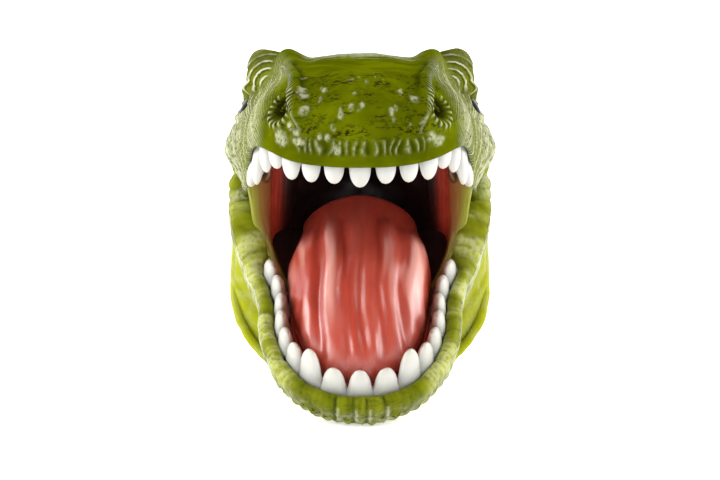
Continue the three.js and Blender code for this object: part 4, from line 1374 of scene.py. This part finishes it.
def curve(points, share):
    """A smooth curve led by a few points."""
    points = [np.asarray(point, float) for point in points]
    while len(points) > 1:
        points = [lerp(a, b, share) for a, b in zip(points, points[1:])]
    return points[0]


def rounded_end(from_end, length):
    """Size of a round end: 0 at its very end, 1 from its length on."""
    return np.sqrt(np.maximum(1 - np.maximum((length - from_end) / length, 0) ** 2, 0))


def roll_end_sheet(side):
    share = np.linspace(0, 1, ROLL_END_ROWS)[:, None]
    angle = round_angles(ROLL_END_SIDES)
    middle = curve(ROLL_END_PATH, share)
    ahead = unit(np.gradient(middle, axis=0))
    folds = groove(share * ROLL_END_FOLDS + 0.3) ** 2
    ends = rounded_end(1 - share, ROLL_END_TIP) * rounded_end(share, ROLL_END_START)
    size = ends * (1 - 0.1 * folds) * lerp(0.72, 1, smooth(share / 0.3))
    width = lerp(*ROLL_END_HALF_WIDTH, share) * size * np.cos(angle)
    height = lerp(*ROLL_END_HALF_HEIGHT, share) * size * np.sin(angle)
    x = side * (lerp(*ROLL_END_MIDDLE, share) + width)
    y = middle[:, :1] - ahead[:, 1:] * height
    z = middle[:, 1:] + ahead[:, :1] * height
    outward = smooth(np.cos(angle) * 0.8 + 0.3)
    points = from_jaw(xyz(x, y, z))
    # Painted shade in the folds
    sheet = grid(points, wrap=True, pale=0.35 * outward, hollow=0.4 * folds).welded()
    sheet.masks["chalk"] = 0.5 * smooth(0.5 + 1.6 * lumps(sheet.points, 6, 12))
    return sheet


roll_ends = []
for label, side in SIDES:
    roll_end = make_piece(f"lip_roll_end_{label}", roll_end_sheet(side), skin)
    roll_ends.append(roll_end)


# Soft skin under the jaw: it comes out of the jaw's rear edge and goes into the neck
THROAT_COLUMNS = 130
THROAT_ROWS = 30
THROAT_SPAN = (0.015, 0.985)
THROAT_WALL = 2.0
THROAT_SINK = 3.6
THROAT_LAP = -1.8
THROAT_END_SINK = 1.6
THROAT_TUCK = (0.06, 0.2)
THROAT_BULGE = 4.0
THROAT_FLAP = 8.0
THROAT_FLAP_LEAN = 0.5
THROAT_FLAP_COLUMNS = 8
THROAT_FOLDS = 4


def with_flaps(points):
    """The sheet with its two upper ends drawn up behind the cheeks."""
    share = np.linspace(0, 1, THROAT_FLAP_COLUMNS + 1)[1:]
    reach = THROAT_FLAP * smooth(np.linspace(0, 1, len(points)) / 0.25)
    flaps = []
    for end in (0, -1):
        edge = points[:, end]
        way = np.array([-THROAT_FLAP_LEAN * np.sign(edge[0, 0]), 0, 1])
        flaps.append(edge[:, None] + (reach[:, None] * share)[..., None] * way)
    return np.concatenate([flaps[0][:, ::-1], points, flaps[1]], axis=1)


def throat_sheet():
    half = np.linspace(*THROAT_SPAN, THROAT_COLUMNS + 1)
    sweep = up_and_down(half)
    right = np.where(half <= 0.5, -1.0, 1.0)
    jaw_tuck, neck_tuck = THROAT_TUCK

    def under_jaw(tuck):
        t = right * (1 - tuck)
        return from_jaw(jaw_outside(t, sweep) - jaw_normal(t, sweep) * THROAT_SINK)

    def in_neck(tuck):
        points = neck_outside(1 + half, tuck)
        sink = lerp(THROAT_LAP, THROAT_END_SINK, tuck / neck_tuck)
        return lerp(points, neck_inside(points), sink / NECK_WALL)

    edge = from_jaw(jaw_outside(right, sweep))
    middle = (edge + neck_outside(1 + half, 0.0)) / 2
    bulge = middle + unit(middle - neck_axis(middle)) * THROAT_BULGE
    lead = [under_jaw(jaw_tuck), under_jaw(0.0), bulge, in_neck(0.0), in_neck(neck_tuck)]
    row = np.linspace(0, 1, THROAT_ROWS + 1)[:, None]
    sheet = grid(with_flaps(curve(lead, row[..., None])), row=row).welded()
    sheet = facing(sheet, sheet.points - neck_axis(sheet.points))
    row = sheet.masks["row"]
    folds = groove(row * THROAT_FOLDS + 0.4 * lumps(sheet.points, 12, 8)) ** 2 * window(row, 0.25, 0.75, 0.3)
    net, _ = net_of_scales(sheet.points)
    # Painted shade in the folds
    sheet.masks = {"pale": np.full_like(row, 0.8), "hollow": 0.4 * folds, "chalk": 0.22 * (1 - net)}
    return lined(sheet, THROAT_WALL, -0.5 * folds)


throat_piece = make_piece("throat_skin_fold", throat_sheet(), skin)
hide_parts("throat_fold")


# Palate, mouth floor and the lining at the back of the mouth
LINER_COLUMNS = np.linspace(0, 1, 61)
LINER_ROWS = np.linspace(0, 1, 31)
PALATE_BAR_PITCH = 7.5
POUCH_COLUMNS = np.linspace(-POUCH_HALF, POUCH_HALF, 61)
POUCH_ROWS = np.linspace(-0.02, 1, 41)
POUCH_SET_BACK = 0.4


def palate_ridge(t):
    depth = lip_depth(t)
    y = -lerp(LIP_TIP - NOSE_LENGTH, PALATE_END, depth)
    return on_middle(y, lerp(PALATE_FRONT_HEIGHT, PALATE_REAR_HEIGHT, depth))


def floor_middle(t):
    y = -lerp(JAW_TIP - CHIN_LENGTH, FLOOR_END, jaw_depth(t))
    return on_middle(y, np.full_like(y, JAW_RIM_HEIGHT - FLOOR_DROP - FLOOR_SAG))


palate_edge = inset(lip, PALATE_INSET + LINER_WALL, PALATE_RISE)
palate_under = vault(palate_edge, palate_ridge, fixed(LINER_ROUNDNESS))
floor_edge = inset(jaw_rim, FLOOR_INSET + LINER_WALL, -FLOOR_DROP)
floor_top = vault(floor_edge, floor_middle, fixed(LINER_ROUNDNESS))


def palate_sheet():
    t, sweep = np.meshgrid(both_sides(LINER_COLUMNS), LINER_ROWS)
    points = palate_under(t, sweep)
    sheet = grid(from_head(points), reach=-points[..., 1], across=np.abs(points[..., 0])).welded()
    sheet = facing(sheet, (0, 0, -1))
    reach, across = sheet.masks["reach"], sheet.masks["across"]
    bars = groove(reach / PALATE_BAR_PITCH + 0.02 * across) ** 2 * until(across, 18, 8)
    # Painted shade: darker towards the back of the mouth
    sheet.masks = {"deep": np.clip(lerp(1.0, 0.35, reach / LIP_TIP), 0, 1)}
    return lined(sheet, LINER_WALL, 0.8 * bump(across, 2.2) - 0.7 * bars)


def floor_sheet():
    t, sweep = np.meshgrid(both_sides(LINER_COLUMNS), LINER_ROWS)
    points = floor_top(t, sweep)
    sheet = grid(from_jaw(points), reach=-points[..., 1], sweep=sweep).welded()
    sheet = facing(sheet, (0, 0, 1))
    reach = sheet.masks["reach"]
    near_web = until(sheet.masks["sweep"], 0.2, 0.12) * until(reach, 44, 14)
    # Painted shade: darker towards the back of the mouth
    sheet.masks = {"deep": lerp(1.0, 0.2, past(reach, 30, 45)), "brown": near_web, "green": 0.3 * near_web}
    return lined(sheet, LINER_WALL, 0.5 * lumps(sheet.points, 7, 5))


def pouch_sheet():
    share, down = np.meshgrid(POUCH_COLUMNS, POUCH_ROWS)
    side = np.where(share < 0, -1.0, 1.0)
    sweep = 1 - np.abs(share)
    upper = from_head(palate_under(side, sweep))
    lower = from_jaw(floor_top(side, sweep)) + np.array([0, POUCH_LAP, -POUCH_LAP])
    middle = (upper + lower) / 2
    middle[..., 1] += POUCH_DEPTH * 2 * (1 - (share / POUCH_HALF) ** 2) + POUCH_SET_BACK
    points = curve([upper, middle, lower], down[..., None])
    # Painted shade over the whole throat lining
    sheet = facing(grid(points, deep=1.0).welded(), (0, -1, 0))
    return lined(sheet, LINER_WALL, 0.7 * lumps(sheet.points, 6, 5))


palate_piece = make_piece("palate_lining", palate_sheet(), lining)
floor_piece = make_piece("floor_lining", floor_sheet(), lining)
pouch_piece = make_piece("throat_pouch", pouch_sheet(), lining)
for piece, node in ((palate_piece, "palate"), (floor_piece, "mouth_floor"), (pouch_piece, "throat_lining")):
    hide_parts(node)


# Webs of the cheeks: the side walls of the mouth, from the lips' corners in to the throat lining
WEB_OVERLAP = 0.2
WEB_BULGE = 5.76
WEB_TUCK = (30.0, 6.0, -20.0)
WEB_WALL = 1.8
WEB_PLEATS = 7
WEB_COLUMNS = graded(56, [(0.0, 0.2, 1.0)])
WEB_ROWS = np.linspace(-WEB_OVERLAP, 1 + WEB_OVERLAP, 61)


def web_sheet(side):
    back, down = np.meshgrid(WEB_COLUMNS, WEB_ROWS)
    upper_share = share_at(WEB_UPPER_REACH, LIP_SHOULDER, LIP_CORNER)
    lower_share = share_at(WEB_LOWER_REACH, JAW_SHOULDER, JAW_CORNER)
    sweep = lerp(*WEB_SWEEP, back)
    at_lip = from_head(inset(lip, LIP_WALL)(np.array(side * upper_share)))
    upper = from_head(palate_under(side * lerp(upper_share, 1, back), sweep))
    lower = from_jaw(floor_top(side * lerp(lower_share, 1, back), sweep))
    upper = lerp(upper, at_lip, 1 - smooth(back / WEB_FLANGE)[..., None])
    points = lerp(upper, lower, np.minimum(down, 1)[..., None])
    points = points + np.maximum(down - 1, 0)[..., None] * np.array(WEB_TUCK) * np.array([side, 1, 1])
    between = np.clip(down, 0, 1)
    sag = np.sin(np.pi * between)
    points[..., 0] += side * WEB_BULGE * sag * between * (1 - back) ** 3
    points[..., 1] += WEB_DIP * sag * (1 - back)
    sheet = facing(grid(points, back=back).welded(), (-side, -0.5, 0))
    back = sheet.masks["back"]
    pleats = groove(back * WEB_PLEATS + 0.5 * lumps(sheet.points, 9, 3)) ** 2
    # Painted shade: darker towards the back of the mouth
    sheet.masks = {
        "deep": 0.15 + 0.85 * past(back, 0.6, 0.34),
        "brown": 1 - past(back, 0.16, 0.28),
        "green": 0.9 * (1 - past(back, 0, 0.2)),
    }
    shell = lined(sheet, WEB_WALL, 0.3 * lumps(sheet.points, 9, 2) - 0.15 * pleats)
    shell.masks["green"] = np.maximum(shell.masks["green"], shell.masks["inside"])
    return shell


web_pieces = []
for label, side in SIDES:
    web = make_piece(f"cheek_web_skin_{label}", web_sheet(side), lining)
    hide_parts(f"cheek_web_{label}")
    web_pieces.append(web)


# Tongue
TONGUE_COLUMNS = np.linspace(0, 1, 111)
TONGUE_END_COLUMNS = np.linspace(1, 2, 15)[1:]
TONGUE_END_LENGTH = 6.0
TONGUE_ROWS = np.linspace(0, 1, 65)
TONGUE_ROOT_ROUNDNESS = 1.7
TONGUE_FURROWS = (-15.0, -5.5, 1.2, 8.0, 16.0)
TONGUE_SOLE = TONGUE_BASE - 0.2

tongue_edge = outline(
    TONGUE_TIP, TONGUE_SHOULDER, TONGUE_ROOT, TONGUE_HALF_WIDTH, TONGUE_ROOT_HALF_WIDTH, TONGUE_ROUNDNESS,
    lambda reach: np.full_like(reach, TONGUE_BASE),
)


def tongue_ridge(t):
    depth = (TONGUE_TIP + tongue_edge(t)[..., 1]) / (TONGUE_TIP - TONGUE_ROOT)
    height = lerp(TONGUE_TIP_RISE, TONGUE_BODY_RISE, smooth(np.minimum(depth * 2, 1)))
    y = -lerp(TONGUE_TIP - TONGUE_TIP_LENGTH, TONGUE_ROOT, depth)
    return on_middle(y, TONGUE_BASE + height)


def tongue_roundness(t):
    return lerp(TONGUE_SECTION_ROUNDNESS, TONGUE_ROOT_ROUNDNESS, past(t, 0.55, 0.3))


tongue_top = vault(tongue_edge, tongue_ridge, tongue_roundness)


def tongue_shell():
    t, sweep = np.meshgrid(both_sides(np.concatenate([TONGUE_COLUMNS, TONGUE_END_COLUMNS])), TONGUE_ROWS)
    points = tongue_top(np.clip(t, -1, 1), sweep)
    turned = np.pi / 2 * np.maximum(np.abs(t) - 1, 0)
    points[..., 0] *= np.cos(turned)
    points[..., 1] += TONGUE_END_LENGTH * np.sin(turned)
    points[..., 2] = TONGUE_BASE + (points[..., 2] - TONGUE_BASE) * np.cos(turned)
    sheet = facing(grid(from_jaw(points), x=points[..., 0], reach=-points[..., 1]).welded(), (0, 0, 1))
    x, reach = sheet.masks["x"], sheet.masks["reach"]
    sole = turn_x(sheet.points, -JAW_PITCH)
    sole[:, 2] = TONGUE_SOLE
    wander = 2.2 * lumps(sheet.points * np.array([0.6, 1, 1]), 26, 3)
    long_place = xyz(x + wander, reach * 0.14, 0 * x)
    streaks = rough(long_place, 7.5, 2, 2)
    fine_streaks = rough(long_place, 3.0, 2, 9)
    furrows = sum(bump(x + wander - place, 2.2) for place in TONGUE_FURROWS)
    body = past(reach, TONGUE_ROOT - 1, 16)
    # Painted highlights in broad patches on both sides of the middle
    glossy = bump(np.abs(x) - 17, 9) * window(reach, 22, 66, 20)
    detail = (1.1 * streaks + 0.2 * fine_streaks - 1.1 * furrows * until(reach, TONGUE_TIP, 14)) * body
    detail = detail + 0.15 * lumps(sheet.points, 7, 4)
    # Painted highlight on the raised streaks' crests, and painted shade towards the root
    sheet.masks = {
        "crest": np.clip(0.5 + 0.9 * streaks, 0, 1),
        "shine": np.clip(glossy * (0.25 + 1.3 * streaks + 0.7 * fine_streaks - 0.7 * furrows), 0, 0.62),
        "deep": np.clip(1 - (reach - 2) / 26, 0, 1) * 0.8,
    }
    sheet.points = sheet.points + sheet.normals() * detail[:, None]
    return closed_shell(sheet, from_jaw(sole))


tongue_piece = make_piece("tongue_folded", tongue_shell(), tongue_red)
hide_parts("tongue")


# Teeth: blunt, with nearly parallel sides
TOOTH_SIDES = 24
TOOTH_ROWS = 18
UPPER_BLUNTNESS = (2.4, 2.4)
LOWER_BLUNTNESS = (2.4, 4.6)
TOOTH_SECTION = 2.2
SPLAY_START = 5
SPLAY_LENGTH = 3
ARC_STEPS = 1200


def tooth_sheet(width, depth, length, flare, bluntness):
    heights = np.concatenate([[-TOOTH_ROOT], np.linspace(0, 1, TOOTH_ROWS) ** 0.8 * length])
    share = np.maximum(heights, 0) / length
    taper = np.sqrt(np.maximum(1 - share**bluntness, 0))
    size = (taper * (1 + flare * bump(np.maximum(heights, 0), 2.2)))[:, None]
    angle = round_angles(TOOTH_SIDES)
    cosine, sine = np.cos(angle), np.sin(angle)
    scale = (np.abs(cosine) ** TOOTH_SECTION + np.abs(sine) ** TOOTH_SECTION) ** (-1 / TOOTH_SECTION)
    x = width / 2 * size * (cosine * scale)
    y = np.repeat(heights[:, None], TOOTH_SIDES, axis=1)
    z = depth / 2 * size * (sine * scale) - (TOOTH_BEND * length * share**2)[:, None]
    cap = xyz(0 * x[0], y[0], 0 * z[0])
    points = np.concatenate([cap[None], xyz(x, y, z)])
    tip = np.concatenate([[0, 0], share[1:]])[:, None]
    return grid(points, wrap=True, tip=tip**3, inward=-sine)


def make_teeth(prefix, row, turn, tip_up, body, lengths, widths, gap, depth, splay, bluntness, flare, stain):
    """A row of teeth from its middle to both backs; tip_up is 1 in the jaw and -1 in the skull."""
    shares = np.linspace(0, 1, ARC_STEPS)
    distances = run(row(shares))
    for number, (length, width) in enumerate(zip(lengths, widths)):
        from_first = sum(other + gap for other in widths[:number]) + (width - widths[0]) / 2
        share = np.interp(from_first, distances, shares)
        back = number / (len(lengths) - 1)
        lean = math.radians(lerp(*splay, past(number, SPLAY_START, SPLAY_LENGTH)))
        for label, side in SIDES if number else (("middle", 1),):
            ahead = row(np.array(min(share + SLOPE_STEP, 1) * side))
            along = ahead - row(np.array((share - SLOPE_STEP) * side))
            along[2] = 0
            along = unit(along) * tip_up * side
            upright = np.array([0.0, 0.0, tip_up])
            tip = upright * math.cos(lean) + np.cross(along, upright) * math.sin(lean)
            axes = np.stack([along, tip, np.cross(along, tip)])
            sheet = tooth_sheet(width, depth, length, flare, lerp(*bluntness, back))
            sheet.points = turn(row(np.array(share * side)) + sheet.points @ axes)
            sheet.masks["stain"] = smooth(sheet.masks["inward"] * 2 + stain * back - 0.4) * stain
            suffix = f"{label}_{number}" if number else label
            tooth = make_piece(f"{prefix}_crown_{suffix}", sheet.welded(), tooth_white)
            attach(tooth, body)
            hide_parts(f"{prefix}_{suffix}")


def upper_row_inset(t):
    return lerp(UPPER_ROW_INSET, UPPER_REAR_INSET, past(t, 0.5, 0.25))


make_teeth(
    "upper_tooth", inset(lip, upper_row_inset), from_head, -1, "head", UPPER_LENGTHS, UPPER_WIDTHS,
    UPPER_GAP, UPPER_TOOTH_DEPTH, UPPER_SPLAY, UPPER_BLUNTNESS, flare=0.0, stain=0.0,
)
make_teeth(
    "lower_tooth", inset(jaw_rim, LOWER_ROW_INSET), from_jaw, 1, "jaw", LOWER_LENGTHS, LOWER_WIDTHS,
    LOWER_GAP, LOWER_TOOTH_DEPTH, LOWER_SPLAY, LOWER_BLUNTNESS, flare=0.26, stain=0.85,
)


# Eyes: low glossy domes under the lids
EYE_RADIUS = 6.2
EYE_BULGE = 2.6
EYE_SINK = 2.0
EYE_BACK = 2.2
EYE_SIDES = 40
EYE_ROWS = 28


def eye_sheet(side):
    outward, upward, forward = local_axes(EYE_PLACE)
    centre = skull_outside(*EYE_PLACE) - outward * EYE_SINK
    tilt = np.linspace(0, np.pi, EYE_ROWS)[:, None, None]
    angle = round_angles(EYE_SIDES)[:, None]
    ring = np.cos(angle) * forward + np.sin(angle) * upward
    height = np.where(tilt < np.pi / 2, EYE_BULGE, EYE_BACK) * np.cos(tilt)
    points = centre + EYE_RADIUS * np.sin(tilt) * ring + height * outward
    return grid(from_head(points * np.array([side, 1, 1])), wrap=True).welded()


for label, side in SIDES:
    eye_piece = make_piece(f"eye_dome_{label}", eye_sheet(side), eye_black)
    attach(eye_piece, "head")
    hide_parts(f"eye_{label}")


# What each piece follows
def spot(x, y, z):
    """A point about the hinge, in the scene's metres."""
    return tuple((np.array([x, y, z]) + HINGE) * MM)


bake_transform(head_piece)
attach(jaw_piece, "jaw")
for roll_end in roll_ends:
    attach(roll_end, "jaw")
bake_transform(throat_piece)
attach(palate_piece, "head")
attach(floor_piece, "jaw")
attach(tongue_piece, "jaw")
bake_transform(pouch_piece)
for web in web_pieces:
    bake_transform(web)

# Floor, light and camera
STAGE_RINGS = (0.02, 0.6)
STAGE_RADIUS = 1.5
STAGE_CURVE = 0.8
STAGE_CURVE_STEPS = 16
STAGE_SIDES = 96
STAGE_WHITES = (colour(248, 248, 248), colour(252, 252, 252))
STAGE_WALL_HEIGHT = 2.4
LIGHT_AIM = (0, 0, 0.07)
WORLD_STRENGTH = 0.15
CAMERA_DISTANCE = 750.0
CAMERA_ELEVATION = 8.0
CAMERA_TARGET_DROP = 24.2
CAMERA_LENS = 93.75


def floor_finish():
    finish = Finish("white_floor", roughness=0.7, specular=0.2)
    finish.set("Base Color", finish.mix(finish.span(finish.grain(60, 2), 0.3, 0.7), *STAGE_WHITES))
    finish.set("Emission Color", (1.0, 1.0, 1.0, 1.0))
    finish.set("Emission Strength", 0.5)
    return finish.material


def make_floor():
    """A round white floor that curves up into a wall on all sides."""
    profile = [(across, 0.0) for across in (*STAGE_RINGS, STAGE_RADIUS)]
    for step in range(1, STAGE_CURVE_STEPS + 1):
        angle = math.pi / 2 * step / STAGE_CURVE_STEPS
        across = STAGE_RADIUS + STAGE_CURVE * math.sin(angle)
        profile.append((across, STAGE_CURVE * (1 - math.cos(angle))))
    profile.append((STAGE_RADIUS + STAGE_CURVE, STAGE_WALL_HEIGHT))
    turns = [2 * math.pi * k / STAGE_SIDES for k in range(STAGE_SIDES)]
    corners = []
    for across, height in profile:
        corners += [(across * math.cos(turn), across * math.sin(turn), height) for turn in turns]
    faces = [tuple(range(STAGE_SIDES))]
    for ring in range(len(profile) - 1):
        near, far = ring * STAGE_SIDES, (ring + 1) * STAGE_SIDES
        for k in range(STAGE_SIDES):
            beside = (k + 1) % STAGE_SIDES
            faces.append((near + k, far + k, far + beside, near + beside))
    mesh = bpy.data.meshes.new("floor")
    mesh.from_pydata(corners, [], faces)
    mesh.shade_smooth()
    mesh.materials.append(floor_finish())
    floor = placed("floor", mesh)


def make_light(name, place, size, power):
    data = bpy.data.lights.new(name, "AREA")
    data.shape = "RECTANGLE"
    data.size, data.size_y = size
    data.energy = power
    light = placed(name, data)
    light.location = place
    aim = Vector(LIGHT_AIM) - light.location
    light.rotation_euler = aim.to_track_quat("-Z", "Y").to_euler()


def make_camera():
    target = Vector(spot(0, 0, -CAMERA_TARGET_DROP))
    rise = math.radians(CAMERA_ELEVATION)
    data = bpy.data.cameras.new("camera")
    data.lens = CAMERA_LENS
    camera = placed("camera", data)
    camera.location = target + Vector((0, -math.cos(rise), math.sin(rise))) * CAMERA_DISTANCE * MM
    camera.rotation_euler = (target - camera.location).to_track_quat("-Z", "Y").to_euler()
    bpy.context.scene.camera = camera


make_floor()
make_light("front_light", place=(-0.35, -1.1, 0.9), size=(0.5, 0.5), power=1.3)
make_light("left_light", place=(-0.95, -0.15, 0.6), size=(0.4, 0.8), power=10.5)
make_light("right_light", place=(0.95, 0.0, 0.6), size=(0.4, 0.8), power=8.5)
make_light("top_light", place=(0, 0.5, 1.3), size=(1.0, 0.6), power=2.5)
make_camera()
world = bpy.data.worlds.new("studio")
world.use_nodes = True
background = world.node_tree.nodes["Background"]
background.inputs["Color"].default_value = (1, 1, 1, 1)
background.inputs["Strength"].default_value = WORLD_STRENGTH
bpy.context.scene.world = world
bpy.context.scene.view_settings.view_transform = "Standard"
